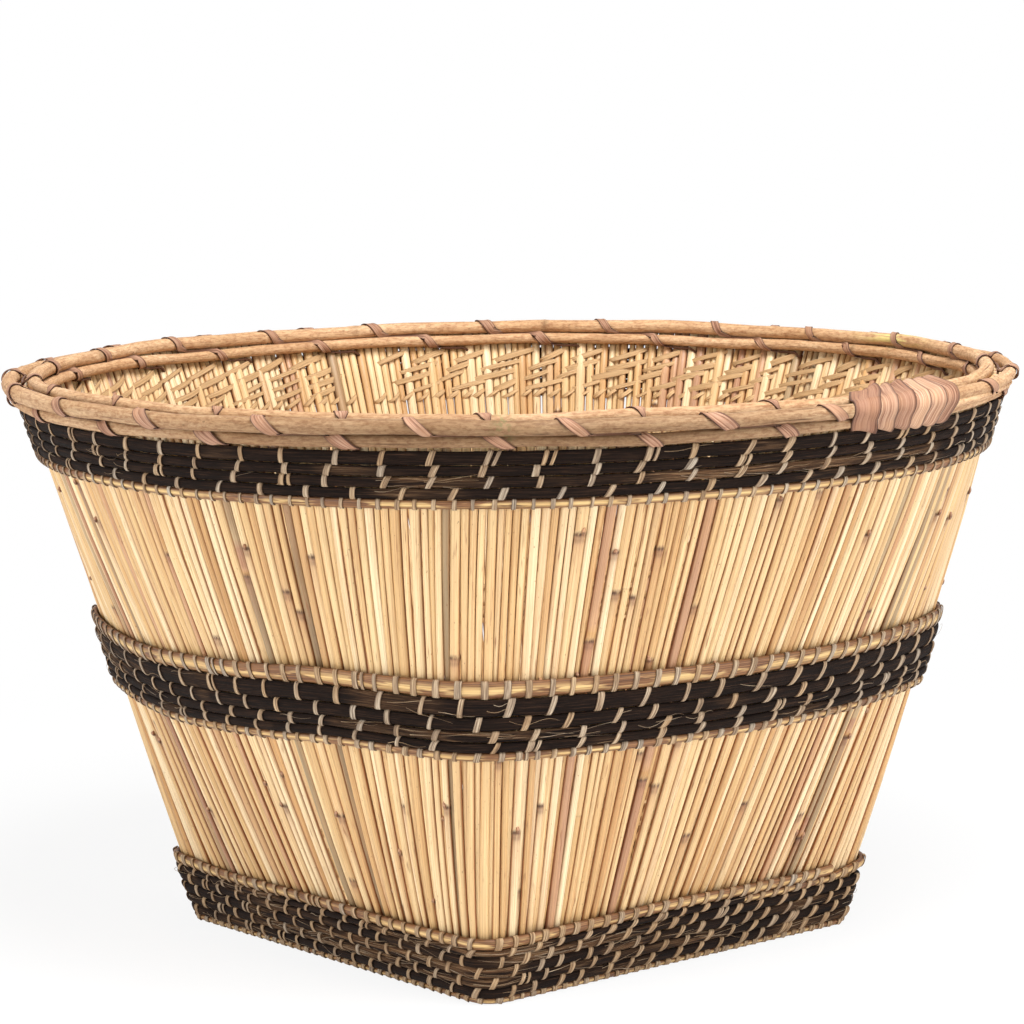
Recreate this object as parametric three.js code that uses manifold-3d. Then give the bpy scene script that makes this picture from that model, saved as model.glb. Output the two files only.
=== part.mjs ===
// Reed basket with a square base and a round rim. Straight upright reeds make the wall: at the ground every
// other one stands behind its neighbours, at the rim all stand side by side. Three bands of dark fibre rods
// and canes run round it, four bark-covered hoops clamp its top edge, and a mat of reeds on battens makes
// the floor. Millimetres, +Z up, ground at z = 0, base sides along X and Y.

import * as THREE from "three";
import { mergeVertices } from "three/addons/utils/BufferGeometryUtils.js";
import Module from "manifold-3d";

// Driving dimensions
const CLEARANCE = 0.3; // between pieces that touch
const BASE_SIDE = 279; // across the reeds' outer faces at the ground
const BASE_CORNER_RADIUS = 10;
const MOUTH_DIAMETER = 587; // across the reeds' outer faces at the height of the rim's top
const RIM_HEIGHT = 340; // ground to the top of the upper hoops
const REED_TOP_DROP = 4; // reed ends below the top of the upper hoops

const PANEL_COUNT = 24; // groups of reeds round the wall, with a seam at each corner of the base
const REEDS_PER_PANEL = 13;
const REED_THICKNESS = 4.6;
const REED_SET_BACK = 3.8; // of every other reed behind its neighbours, at the ground
const FLUTE_DEPTH = 2.2; // valley between two reeds side by side, below their outer faces
const FLUTE_SHOULDERS = [0.25, 0.75]; // shares of a reed's width between which it meets the outer face
const PANEL_INNER_FACETS = 4;

const UPPER_HOOP_DIAMETER = 9;
const LOWER_HOOP_DIAMETER = 7.4;
const HOOP_SIDES = 8;
const RIM_FACETS = 44; // straight steps of a hoop round the rim

const STRIP_THICKNESS = 0.8; // bark strip of the lashing and of the splice wrap
const STRIP_BEND_ALLOWANCE = 0.4; // what a strip's straight steps take up round a hoop
const LASHING_TURNS = 21;
const LASHING_WIDTH = 6.5;
const LASHING_GATHERED = 1.4; // side of the strip where it is gathered between two hoops or two reeds
const LASHING_SLANT = 12; // along the rim while the strip crosses one outer hoop
const SPLICE_ANGLE = 277.6; // degrees from +X to the middle of the wrap over the hoop ends
const SPLICE_LENGTH = 90;
const SPLICE_TURNS = 6;
const SPLICE_STRIP_WIDTH = 11.5;
const SPLICE_STEPS_PER_TURN = 18;
const LASHING_FROM_SPLICE = 37; // along the rim, from the wrap's end to the first turn of the lashing
const LASHING_TO_SPLICE = 17; // from the end of its last full turn to the wrap
const LAST_CROSSING_GAP = 16; // from the middle of its last crossing to the wrap

const TOP_ROD_HEIGHTS = [6, 6, 5.8, 6.4]; // from the lowest row up
const TOP_ROD_THICKNESS = 3.8;
const TOP_CANE_HEIGHT = 5.2;
const MIDDLE_BAND_BOTTOM = 147.2;
const MIDDLE_ROD_HEIGHTS = [5.8, 6.2, 8, 10.2];
const MIDDLE_ROD_THICKNESS = 4.2;
const MIDDLE_LOWER_CANE_HEIGHT = 4.8;
const MIDDLE_UPPER_CANE_HEIGHT = 9.6;
const BASE_ROD_HEIGHTS = [6.4, 6.4, 6.8, 6.4];
const BASE_SHORT_ROD_HEIGHT = 4.4; // row that stops where the upper cane's ends lap
const BASE_ROD_THICKNESS = 4;
const BASE_LOWER_CANE_HEIGHT = 3.6;
const BASE_UPPER_CANE_HEIGHT = 6.6;
const CANE_THICKNESS = 3.4;
const CANE_LAP_ANGLE = 281.7; // degrees from +X, by share of the girth, to the cane's lower end
const CANE_LAP_LENGTH = 76; // along the base, both ends of the upper cane side by side
const CANE_LAP_RAMP = 45; // along the base, while the lower end climbs to its row
const BAND_SEAM_ANGLE = 72; // degrees from +X to the butted ends of the other rods and canes

const BATTEN_COUNT = 3;
const BATTEN_PITCH = 88;
const BATTEN_WIDTH = 10;
const BATTEN_HEIGHT = 4;
const FLOOR_REED_COUNT = 54;
const FLOOR_REED_THICKNESS = 4.6;

const CUTTER_REACH = 6; // past the wall's faces and the rim's top, of the openings cut for the strips
const RING_SAMPLES = 720; // points round a full turn at which a ring's curve is measured
const RING_SAG = 0.8; // most that a straight step of a ring leaves its curve

const GROOVE_STEPS = 2; // straight steps of the lashing along the groove between two crossings
// Directions, in degrees up from straight out of the basket, in which the lashing lies off each hoop
const OVER_OUTER_UPPER = [130, 90, 50, 10, -30, -65];
const OVER_OUTER_LOWER = [5, -30, -60, -90];
const ROUND_INNER_LOWER = [-90, -145, 165];
const ROUND_INNER_UPPER = [160, 120, 80, 45];

// Colours and finishes
const STRAW = { color: 0xe2c38a, roughness: 0.55, metalness: 0 };
const BARK_ROD = { color: 0xc79d69, roughness: 0.6, metalness: 0 };
const BARK_STRIP = { color: 0xc29878, roughness: 0.7, metalness: 0 };
const DARK_FIBRE = { color: 0x2e2624, roughness: 0.9, metalness: 0 };
const CANE = { color: 0xb88d54, roughness: 0.45, metalness: 0 };

const UP = new THREE.Vector3(0, 0, 1);
const FULL_TURN = 2 * Math.PI;

// Sizes that follow from the driving dimensions
const reedTop = RIM_HEIGHT - REED_TOP_DROP;
const cornerCentre = BASE_SIDE / 2 - BASE_CORNER_RADIUS;
const sideGirth = 2 * cornerCentre + (Math.PI / 2) * BASE_CORNER_RADIUS;
const mouthGirth = Math.PI * MOUTH_DIAMETER;
const steepestLean = (MOUTH_DIAMETER - BASE_SIDE) / 2 / RIM_HEIGHT;
const leanFactor = Math.hypot(1, steepestLean); // level distance to a leaning wall for one unit square to it
const stripLift = CLEARANCE + STRIP_THICKNESS / 2 + STRIP_BEND_ALLOWANCE;
const spliceTurn = SPLICE_ANGLE / 360;
const bandSeam = BAND_SEAM_ANGLE / 360;

// Plan of the wall. A turn of 0 to 1 goes round from the middle of the +X side by equal shares of the girth.

function basePoint(turn) {
  const along = turn * 4 * sideGirth + cornerCentre;
  const side = Math.floor(along / sideGirth);
  const rest = along - side * sideGirth;
  const bend = Math.max(0, rest - 2 * cornerCentre) / BASE_CORNER_RADIUS;
  const point = new THREE.Vector2(cornerCentre, Math.min(rest - cornerCentre, cornerCentre));
  point.x += BASE_CORNER_RADIUS * Math.cos(bend);
  point.y += BASE_CORNER_RADIUS * Math.sin(bend);
  return point.rotateAround(new THREE.Vector2(), (side * Math.PI) / 2);
}

function mouthPoint(turn) {
  const angle = turn * FULL_TURN;
  return new THREE.Vector2(Math.cos(angle), Math.sin(angle)).multiplyScalar(MOUTH_DIAMETER / 2);
}

// Outer face of the reeds: straight from the base's outline to the mouth's circle.
function wallPoint(turn, z) {
  return basePoint(turn).lerp(mouthPoint(turn), z / RIM_HEIGHT);
}

function wallOutward(turn, z) {
  const step = 0.5 / RING_SAMPLES;
  const along = wallPoint(turn + step, z).sub(wallPoint(turn - step, z)).normalize();
  return new THREE.Vector2(along.y, -along.x);
}

function wallAt(turn, offset, z) {
  const point = wallPoint(turn, z).addScaledVector(wallOutward(turn, z), offset);
  return new THREE.Vector3(point.x, point.y, z);
}

function girthAt(z) {
  return THREE.MathUtils.lerp(4 * sideGirth, mouthGirth, z / RIM_HEIGHT);
}

// Closed solid through a row of outlines that have the same number of points.

// Triangles over a flat outline, each running round the same way as the outline.
function capTriangles(outline) {
  const normal = new THREE.Vector3();
  outline.forEach((point, index) => {
    normal.add(new THREE.Vector3().crossVectors(point, outline[(index + 1) % outline.length]));
  });
  const size = [Math.abs(normal.x), Math.abs(normal.y), Math.abs(normal.z)];
  const dropped = size.indexOf(Math.max(...size));
  const flat = outline.map((point) => new THREE.Vector2(...point.toArray().toSpliced(dropped, 1)));
  const inOrder = (corners) => corners.toSorted((first, second) => first - second);
  return THREE.ShapeUtils.triangulateShape(flat, []).map(inOrder);
}

function loft(outlines, split = splitHollow) {
  const count = outlines[0].length;
  const points = outlines.flat();
  const caps = [];
  const addCap = (row, facesBack) => {
    for (const corners of capTriangles(outlines[row])) {
      caps.push((facesBack ? corners.reverse() : corners).map((corner) => row * count + corner));
    }
  };
  addCap(0, true);
  addCap(outlines.length - 1, false);
  const sides = [];
  for (let row = 0; row + 1 < outlines.length; row += 1) {
    for (let side = 0; side < count; side += 1) {
      const a = row * count + side;
      const b = row * count + ((side + 1) % count);
      sides.push([a, b, b + count, a + count]);
    }
  }
  const rough = sides.flatMap(([a, b, c, d]) => [[a, b, c], [a, c, d]]);
  const outward = Math.sign(signedVolume(points, [...caps, ...rough]));
  const walls = sides.flatMap((corners, index) => split(points, corners, outward, index % count));
  const triangles = [...caps, ...walls];
  const geometry = new THREE.BufferGeometry().setFromPoints(points);
  geometry.setIndex(triangles.flatMap((corners) => (outward < 0 ? corners.toReversed() : corners)));
  return geometry;
}

function signedVolume(points, triangles) {
  return triangles.reduce((sum, [a, b, c]) => sum + points[a].dot(points[b].clone().cross(points[c])), 0) / 6;
}

// Splits a twisted side along the diagonal that leaves less material, so that it clears its neighbour.
function splitHollow(points, [a, b, c, d], outward) {
  const from = (corner) => points[corner].clone().sub(points[a]);
  const fold = from(b).cross(from(c)).dot(from(d)) * outward;
  return fold > 0 ? [[a, b, c], [a, c, d]] : [[a, b, d], [b, c, d]];
}

// Splits a strip's first side, which faces what the strip lies on, hollow and the others full, so that the
// strip keeps its thickness where it twists.
function splitStrip(points, corners, outward, side) {
  return splitHollow(points, corners, side === 0 ? outward : -outward);
}

// Cutting one closed solid out of another.

const wasm = await Module();
wasm.setup();

function toSolid(geometry) {
  const bare = geometry.clone();
  bare.deleteAttribute("normal");
  bare.deleteAttribute("uv");
  const merged = mergeVertices(bare);
  return new wasm.Manifold(
    new wasm.Mesh({
      numProp: 3,
      vertProperties: new Float32Array(merged.attributes.position.array),
      triVerts: new Uint32Array(merged.index.array),
    }),
  );
}

function toGeometry(solid) {
  const mesh = solid.getMesh();
  const geometry = new THREE.BufferGeometry();
  geometry.setAttribute("position", new THREE.BufferAttribute(new Float32Array(mesh.vertProperties), 3));
  geometry.setIndex(new THREE.BufferAttribute(new Uint32Array(mesh.triVerts), 1));
  return geometry;
}

const basket = new THREE.Group();

function addPiece(name, geometry, finish) {
  const mesh = new THREE.Mesh(geometry, new THREE.MeshStandardMaterial(finish));
  mesh.name = name;
  basket.add(mesh);
}

// Rods and canes that run round the wall.

// How far the wall's curves leave the straight step between two of their points.
function chordRise(curves, from, to) {
  let rise = 0;
  for (const points of curves) {
    const along = points[to].clone().sub(points[from]).normalize();
    for (let place = from + 1; place < to; place += 1) {
      rise = Math.max(rise, Math.abs(points[place].clone().sub(points[from]).cross(along)));
    }
  }
  return rise;
}

// Turns where a ring bends, the given bends among them, each with the distance by which its corner stands off
// the wall so that the straight steps on both sides clear the reeds from the ring's bottom to its top.
function ringStations(bottom, height, start, end, givenBends = []) {
  const steps = Math.ceil((end - start) * RING_SAMPLES);
  const turnAt = (_, place) => THREE.MathUtils.lerp(start, end, place / steps);
  const turns = Array.from({ length: steps + 1 }, turnAt);
  const curves = [bottom, bottom + height].map((z) => turns.map((turn) => wallPoint(turn, z)));
  const stops = new Set(givenBends.map((turn) => Math.round(((turn - start) / (end - start)) * steps)));
  const stations = [{ turn: start, standOff: 0 }];
  let from = 0;
  while (from < steps) {
    let to = from + 1;
    while (to < steps && !stops.has(to) && chordRise(curves, from, to + 1) < RING_SAG) to += 1;
    const rise = chordRise(curves, from, to);
    stations.at(-1).standOff = Math.max(stations.at(-1).standOff, rise);
    stations.push({ turn: turns[to], standOff: rise });
    from = to;
  }
  return stations;
}

function ring(bottom, profile, start, end) {
  const height = Math.max(...profile.map(([, rise]) => rise));
  const outlines = ringStations(bottom, height, start, end).map(({ turn, standOff }) =>
    profile.map(([offset, rise]) => wallAt(turn, offset + standOff, bottom + rise)),
  );
  return loft(outlines);
}

function closedRing(bottom, profile) {
  const halfGap = CLEARANCE / 2 / girthAt(bottom);
  return ring(bottom, profile, bandSeam + halfGap, bandSeam + 1 - halfGap);
}

// Six-sided section, flat above and below.
function rodProfile(height, thickness) {
  const middle = CLEARANCE + thickness / 2;
  return [
    [CLEARANCE, height / 2],
    [middle - thickness / 4, 0],
    [middle + thickness / 4, 0],
    [CLEARANCE + thickness, height / 2],
    [middle + thickness / 4, height],
    [middle - thickness / 4, height],
  ];
}

// Split cane: flat against the reeds, narrower outside.
function caneProfile(height) {
  return [
    [CLEARANCE, 0],
    [CLEARANCE + CANE_THICKNESS, height / 4],
    [CLEARANCE + CANE_THICKNESS, (3 * height) / 4],
    [CLEARANCE, height],
  ];
}

function groundCaneProfile(height) {
  return [
    [CLEARANCE, 0],
    [CLEARANCE + CANE_THICKNESS, 0],
    [CLEARANCE + CANE_THICKNESS, height / 2],
    [CLEARANCE, height],
  ];
}

// Stacks rods on each other from a height up and returns the height above the last one.
function addRods(prefix, bottom, heights, thickness) {
  let z = bottom;
  heights.forEach((height, row) => {
    addPiece(`${prefix}_rod_${row + 1}`, closedRing(z, rodProfile(height, thickness)), DARK_FIBRE);
    z += height + CLEARANCE;
  });
  return z;
}

const stackHeight = (heights) => heights.reduce((sum, height) => sum + height + CLEARANCE, 0);

// Base band. Its upper cane runs round a little more than once: the lower end starts beside the upper end,
// in the row of the short rod, and climbs to its own row.
const baseRodsBottom = BASE_LOWER_CANE_HEIGHT + CLEARANCE;
const baseRodsTop = addRods("base_band", baseRodsBottom, BASE_ROD_HEIGHTS, BASE_ROD_THICKNESS);
const upperCaneBottom = baseRodsTop + BASE_SHORT_ROD_HEIGHT + CLEARANCE;
const lapStart = CANE_LAP_ANGLE / 360;
const lapGirth = girthAt(upperCaneBottom);
const lapEnd = lapStart + CANE_LAP_LENGTH / lapGirth;
const rampEnd = lapEnd + CANE_LAP_RAMP / lapGirth;

// The lower end is thinned to the short rod's row, so that it lies under the upper end.
function lappedCane() {
  const rowsHeight = upperCaneBottom + BASE_UPPER_CANE_HEIGHT - baseRodsTop;
  const caneEnd = lapEnd + 1 - CLEARANCE / lapGirth;
  const stations = ringStations(baseRodsTop, rowsHeight, lapStart, caneEnd, [lapEnd, rampEnd]);
  const outlines = stations.map(({ turn, standOff }) => {
    const climbed = THREE.MathUtils.clamp((turn - lapEnd) / (rampEnd - lapEnd), 0, 1);
    const bottom = THREE.MathUtils.lerp(baseRodsTop, upperCaneBottom, climbed);
    const height = THREE.MathUtils.lerp(BASE_SHORT_ROD_HEIGHT, BASE_UPPER_CANE_HEIGHT, climbed);
    return caneProfile(height).map(([offset, rise]) => wallAt(turn, offset + standOff, bottom + rise));
  });
  return loft(outlines);
}

const endGap = CLEARANCE / lapGirth;
const shortProfile = rodProfile(BASE_SHORT_ROD_HEIGHT, BASE_ROD_THICKNESS);
const shortRod = ring(baseRodsTop, shortProfile, rampEnd + endGap, lapStart + 1 - endGap);
addPiece("base_band_cane_lower", closedRing(0, groundCaneProfile(BASE_LOWER_CANE_HEIGHT)), CANE);
addPiece("base_band_rod_short", shortRod, DARK_FIBRE);
addPiece("base_band_cane_upper", lappedCane(), CANE);

// Middle band
const middleLowerCane = closedRing(MIDDLE_BAND_BOTTOM, caneProfile(MIDDLE_LOWER_CANE_HEIGHT));
const middleRodsBottom = MIDDLE_BAND_BOTTOM + MIDDLE_LOWER_CANE_HEIGHT + CLEARANCE;
addPiece("middle_band_cane_lower", middleLowerCane, CANE);
const middleRodsTop = addRods("middle_band", middleRodsBottom, MIDDLE_ROD_HEIGHTS, MIDDLE_ROD_THICKNESS);
addPiece("middle_band_cane_upper", closedRing(middleRodsTop, caneProfile(MIDDLE_UPPER_CANE_HEIGHT)), CANE);

// Top band, hung under the lower outer hoop with room for the bark strips between them
const upperHoopHeight = RIM_HEIGHT - UPPER_HOOP_DIAMETER / 2;
const lowerHoopHeight = upperHoopHeight - UPPER_HOOP_DIAMETER / 2 - CLEARANCE - LOWER_HOOP_DIAMETER / 2;
const stripPassHeight = lowerHoopHeight - LOWER_HOOP_DIAMETER / 2 - stripLift;
const topBandTop = stripPassHeight - STRIP_THICKNESS / 2 - CLEARANCE;
const topCaneBottom = topBandTop - stackHeight(TOP_ROD_HEIGHTS) - TOP_CANE_HEIGHT;
addPiece("top_band_cane_lower", closedRing(topCaneBottom, caneProfile(TOP_CANE_HEIGHT)), CANE);
addRods("top_band", topCaneBottom + TOP_CANE_HEIGHT + CLEARANCE, TOP_ROD_HEIGHTS, TOP_ROD_THICKNESS);

// Hoops of the rim: two outside and two inside the reeds. Their ends butt under the splice wrap.

const rimSag = (MOUTH_DIAMETER / 2) * (1 - Math.cos(Math.PI / RIM_FACETS));

function makeHoop(diameter, height, outside) {
  const radius = diameter / 2;
  const seat = (radius + CLEARANCE) * leanFactor;
  const offset = outside ? seat + rimSag : -REED_THICKNESS - seat;
  const halfGap = CLEARANCE / 2 / mouthGirth;
  const stations = Array.from({ length: RIM_FACETS + 1 }, (_, place) => {
    const turn = THREE.MathUtils.lerp(spliceTurn + halfGap, spliceTurn + 1 - halfGap, place / RIM_FACETS);
    const outward = wallOutward(turn, height);
    return { centre: wallAt(turn, offset, height), out: new THREE.Vector3(outward.x, outward.y, 0) };
  });
  return { radius, stations };
}

const hoops = {
  rim_hoop_outer_upper: makeHoop(UPPER_HOOP_DIAMETER, upperHoopHeight, true),
  rim_hoop_outer_lower: makeHoop(LOWER_HOOP_DIAMETER, lowerHoopHeight, true),
  rim_hoop_inner_upper: makeHoop(UPPER_HOOP_DIAMETER, upperHoopHeight, false),
  rim_hoop_inner_lower: makeHoop(LOWER_HOOP_DIAMETER, lowerHoopHeight, false),
};
const outerUpper = hoops.rim_hoop_outer_upper;
const outerLower = hoops.rim_hoop_outer_lower;
const innerUpper = hoops.rim_hoop_inner_upper;
const innerLower = hoops.rim_hoop_inner_lower;

// Direction in the upright plane across the rim: 0 points out of the basket, a quarter turn points up.
function acrossRim(out, angle) {
  return out.clone().multiplyScalar(Math.cos(angle)).addScaledVector(UP, Math.sin(angle));
}

for (const [name, { radius, stations }] of Object.entries(hoops)) {
  const outlines = stations.map(({ centre, out }) =>
    Array.from({ length: HOOP_SIDES }, (_, side) =>
      centre.clone().addScaledVector(acrossRim(out, ((side + 0.5) / HOOP_SIDES) * FULL_TURN), radius),
    ),
  );
  addPiece(name, loft(outlines), BARK_ROD);
}

// A hoop's centre and outward direction at any turn, on the hoop's own straight steps.
function hoopAt(hoop, turn) {
  const place = THREE.MathUtils.euclideanModulo(turn - spliceTurn, 1) * RIM_FACETS;
  const step = Math.min(Math.floor(place), RIM_FACETS - 1);
  const before = hoop.stations[step];
  const after = hoop.stations[step + 1];
  return {
    centre: before.centre.clone().lerp(after.centre, place - step),
    out: before.out.clone().lerp(after.out, place - step).normalize(),
  };
}

// Bark strips. A strip is a row of places, each with its point, the direction away from what it lies on,
// and its width and thickness there.

function stripOutlines(places) {
  return places.map(({ point, away, width, thickness }, index) => {
    const before = places[Math.max(index - 1, 0)].point;
    const after = places[Math.min(index + 1, places.length - 1)].point;
    const along = after.clone().sub(before).normalize();
    const across = new THREE.Vector3().crossVectors(along, away).normalize();
    const outward = new THREE.Vector3().crossVectors(across, along).normalize();
    const corner = (side, level) =>
      point
        .clone()
        .addScaledVector(across, (side * width) / 2)
        .addScaledVector(outward, (level * thickness) / 2);
    return [corner(-1, -1), corner(1, -1), corner(1, 1), corner(-1, 1)];
  });
}

// Least distance between the corners of two turns of a strip, printed as a check on the winding.
function printLeastGap(name, outlines, stepsPerTurn) {
  let least = Infinity;
  const apart = Math.ceil(stepsPerTurn / 2);
  for (let first = 0; first < outlines.length; first += 1) {
    const last = Math.min(outlines.length, first + 2 * stepsPerTurn);
    for (let second = first + apart; second < last; second += 1) {
      for (const a of outlines[first]) {
        for (const b of outlines[second]) least = Math.min(least, a.distanceTo(b));
      }
    }
  }
  console.log(`${name}: least gap to itself ${least.toFixed(2)} mm`);
}

function onHoop(hoop, turn, degrees, width) {
  const { centre, out } = hoopAt(hoop, turn);
  const away = acrossRim(out, THREE.MathUtils.degToRad(degrees));
  const point = centre.addScaledVector(away, hoop.radius + stripLift);
  return { point, away, width, thickness: STRIP_THICKNESS };
}

const gatheredRadius = (LASHING_GATHERED / 2) * Math.SQRT2;

function gathered(point, away) {
  return { point, away, width: LASHING_GATHERED, thickness: LASHING_GATHERED };
}

// In the groove between the two outer hoops.
function inGroove(turn) {
  const upper = hoopAt(outerUpper, turn);
  const lower = hoopAt(outerLower, turn);
  const between = lower.centre.clone().sub(upper.centre);
  const distance = between.length();
  between.normalize();
  const reachUpper = outerUpper.radius + CLEARANCE + gatheredRadius;
  const reachLower = outerLower.radius + CLEARANCE + gatheredRadius;
  const along = (reachUpper ** 2 - reachLower ** 2 + distance ** 2) / (2 * distance);
  const rise = Math.sqrt(Math.max(0, reachUpper ** 2 - along ** 2));
  const away = upper.out.clone().addScaledVector(between, -upper.out.dot(between)).normalize();
  return gathered(upper.centre.addScaledVector(between, along).addScaledVector(away, rise), away);
}

// On the reed ends, between the two upper hoops.
function onReedEnds(turn) {
  const middle = hoopAt(outerUpper, turn).centre.lerp(hoopAt(innerUpper, turn).centre, 0.5);
  middle.z = reedTop + CLEARANCE + gatheredRadius;
  return gathered(middle, UP);
}

// Between two reeds, under the lower hoops.
function throughWall(turn, offset) {
  return gathered(wallAt(turn, offset, stripPassHeight), UP.clone().negate());
}

const lashingStart = spliceTurn + (SPLICE_LENGTH / 2 + LASHING_FROM_SPLICE) / mouthGirth;
const lashingEnd = spliceTurn + 1 - (SPLICE_LENGTH / 2 + LASHING_TO_SPLICE) / mouthGirth;
const lastCrossing = spliceTurn + 1 - (SPLICE_LENGTH / 2 + LAST_CROSSING_GAP) / mouthGirth;
const lashingPitch = (lashingEnd - lashingStart) / LASHING_TURNS;
const slantTurn = LASHING_SLANT / mouthGirth;
const reedCount = PANEL_COUNT * REEDS_PER_PANEL;

// Where a turn of the lashing goes through the wall: in the gap between two reeds nearest to its slant's end.
function passTurnOf(start) {
  return Math.round((start + 1.5 * slantTurn + lashingPitch / 2) * reedCount) / reedCount;
}

// Slanted crossing of an outer hoop, with its middle at a turn.
function slanted(hoop, turn, degrees) {
  return degrees.map((angle, step) =>
    onHoop(hoop, turn + slantTurn * (step / (degrees.length - 1) - 0.5), angle, LASHING_WIDTH),
  );
}

// One turn of the lashing: over the upper outer hoop, along the groove, over the lower outer hoop, through
// the wall, up inside over both inner hoops, and along the reed ends to the next turn.
function lashingTurn(start) {
  const crossUpper = start + slantTurn;
  const crossLower = crossUpper + lashingPitch / 2;
  const passTurn = passTurnOf(start);
  const upright = (hoop, degrees) => degrees.map((angle) => onHoop(hoop, passTurn, angle, LASHING_WIDTH));
  const groove = Array.from({ length: GROOVE_STEPS + 1 }, (_, step) =>
    inGroove(THREE.MathUtils.lerp(crossUpper + slantTurn, crossLower - slantTurn, step / GROOVE_STEPS)),
  );
  return [
    onReedEnds(start),
    ...slanted(outerUpper, crossUpper, OVER_OUTER_UPPER),
    ...groove,
    ...slanted(outerLower, crossLower, OVER_OUTER_LOWER),
    throughWall(passTurn, 2 * CLEARANCE),
    throughWall(passTurn, -REED_THICKNESS - 2 * CLEARANCE),
    ...upright(innerLower, ROUND_INNER_LOWER),
    ...upright(innerUpper, ROUND_INNER_UPPER),
    onReedEnds(passTurn + slantTurn / 2),
  ];
}

const lashingPlaces = [];
const passTurns = [];
for (let turn = 0; turn < LASHING_TURNS; turn += 1) {
  const start = lashingStart + turn * lashingPitch;
  passTurns.push(passTurnOf(start));
  lashingPlaces.push(...lashingTurn(start));
}
const placesPerTurn = lashingPlaces.length / LASHING_TURNS;

// The strip's end crosses the upper outer hoop once more and is tucked into the groove.
lashingPlaces.push(onReedEnds(lastCrossing - slantTurn));
lashingPlaces.push(...slanted(outerUpper, lastCrossing, OVER_OUTER_UPPER));
lashingPlaces.push(inGroove(lastCrossing + slantTurn));
const lashingOutlines = stripOutlines(lashingPlaces);
printLeastGap("rim_lashing", lashingOutlines, placesPerTurn);
addPiece("rim_lashing", loft(lashingOutlines, splitStrip), BARK_STRIP);

// The splice wrap winds closely round all four hoops and advances along the rim in step with its length.

function roundAllHoops(turn, angle) {
  const away = acrossRim(hoopAt(outerUpper, turn).out, angle);
  const reach = (hoop) => hoopAt(hoop, turn).centre.dot(away) + hoop.radius;
  const outermost = Object.values(hoops).reduce((best, hoop) => (reach(hoop) > reach(best) ? hoop : best));
  return onHoop(outermost, turn, THREE.MathUtils.radToDeg(angle), SPLICE_STRIP_WIDTH);
}

const spliceAngle = (step) => (step / SPLICE_STEPS_PER_TURN) * FULL_TURN;
const loopRun = [0];
for (let step = 1; step <= SPLICE_STEPS_PER_TURN; step += 1) {
  const before = roundAllHoops(spliceTurn, spliceAngle(step - 1)).point;
  loopRun.push(loopRun.at(-1) + roundAllHoops(spliceTurn, spliceAngle(step)).point.distanceTo(before));
}
const spliceShare = (SPLICE_LENGTH - SPLICE_STRIP_WIDTH) / mouthGirth;
const spliceSteps = SPLICE_TURNS * SPLICE_STEPS_PER_TURN;
const splicePlaces = Array.from({ length: spliceSteps + 1 }, (_, step) => {
  const loops = Math.floor(step / SPLICE_STEPS_PER_TURN);
  const wound = loops + loopRun[step % SPLICE_STEPS_PER_TURN] / loopRun.at(-1);
  return roundAllHoops(spliceTurn + spliceShare * (wound / SPLICE_TURNS - 0.5), spliceAngle(step));
});
const spliceOutlines = stripOutlines(splicePlaces);
printLeastGap("rim_splice_wrap", spliceOutlines, SPLICE_STEPS_PER_TURN);
addPiece("rim_splice_wrap", loft(spliceOutlines, splitStrip), BARK_STRIP);

// Reed panels. Each is a row of reeds that touch, fluted outside, straight from the ground to the rim. Every
// other reed comes forward between its neighbours on the way up. Where a bark strip goes through the wall,
// the reeds are cut away from there up.

const passBottom = stripPassHeight - gatheredRadius - CLEARANCE;

// Solid that clears the wall between two turns, from a height up and with room on both faces.
function wallCutter(from, to, bottom) {
  const steps = Math.ceil((to - from) * reedCount);
  const turns = Array.from({ length: steps + 1 }, (_, step) => THREE.MathUtils.lerp(from, to, step / steps));
  const outlines = [bottom, RIM_HEIGHT + CUTTER_REACH].map((z) => [
    ...turns.map((turn) => wallAt(turn, CUTTER_REACH, z)),
    ...turns.toReversed().map((turn) => wallAt(turn, -REED_THICKNESS - CUTTER_REACH, z)),
  ]);
  return { from, to, solid: toSolid(loft(outlines)) };
}

const slotHalf = (gatheredRadius + CLEARANCE) / mouthGirth;
const spliceBottom = stripPassHeight - STRIP_THICKNESS / 2 - CLEARANCE;
const spliceHalf = (SPLICE_LENGTH + SPLICE_STRIP_WIDTH) / 2 / mouthGirth;
const spliceFrom = Math.floor((spliceTurn - spliceHalf) * reedCount) / reedCount;
const spliceTo = Math.ceil((spliceTurn + spliceHalf) * reedCount) / reedCount;
const cutters = passTurns.map((turn) => wallCutter(turn - slotHalf, turn + slotHalf, passBottom));
cutters.push(wallCutter(spliceFrom, spliceTo, spliceBottom));

// Inner face of the wall, which is one reed thick where the lower inner hoop starts.
function innerOffset(z) {
  return -REED_THICKNESS - REED_SET_BACK * (1 - z / stripPassHeight);
}

function panelOutline(start, end, z) {
  const setBack = REED_SET_BACK * (1 - z / reedTop);
  const outside = [];
  for (let reed = 0; reed < REEDS_PER_PANEL; reed += 1) {
    const at = (share) => THREE.MathUtils.lerp(start, end, (reed + share) / REEDS_PER_PANEL);
    const face = reed % 2 === 1 ? -setBack : 0;
    const valley = reed === 0 ? -FLUTE_DEPTH : -FLUTE_DEPTH - setBack / 2;
    outside.push(wallAt(at(0), valley, z), ...FLUTE_SHOULDERS.map((share) => wallAt(at(share), face, z)));
  }
  outside.push(wallAt(end, -FLUTE_DEPTH, z));
  const inside = Array.from({ length: PANEL_INNER_FACETS + 1 }, (_, facet) =>
    wallAt(THREE.MathUtils.lerp(end, start, facet / PANEL_INNER_FACETS), innerOffset(z), z),
  );
  return [...outside, ...inside];
}

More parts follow.
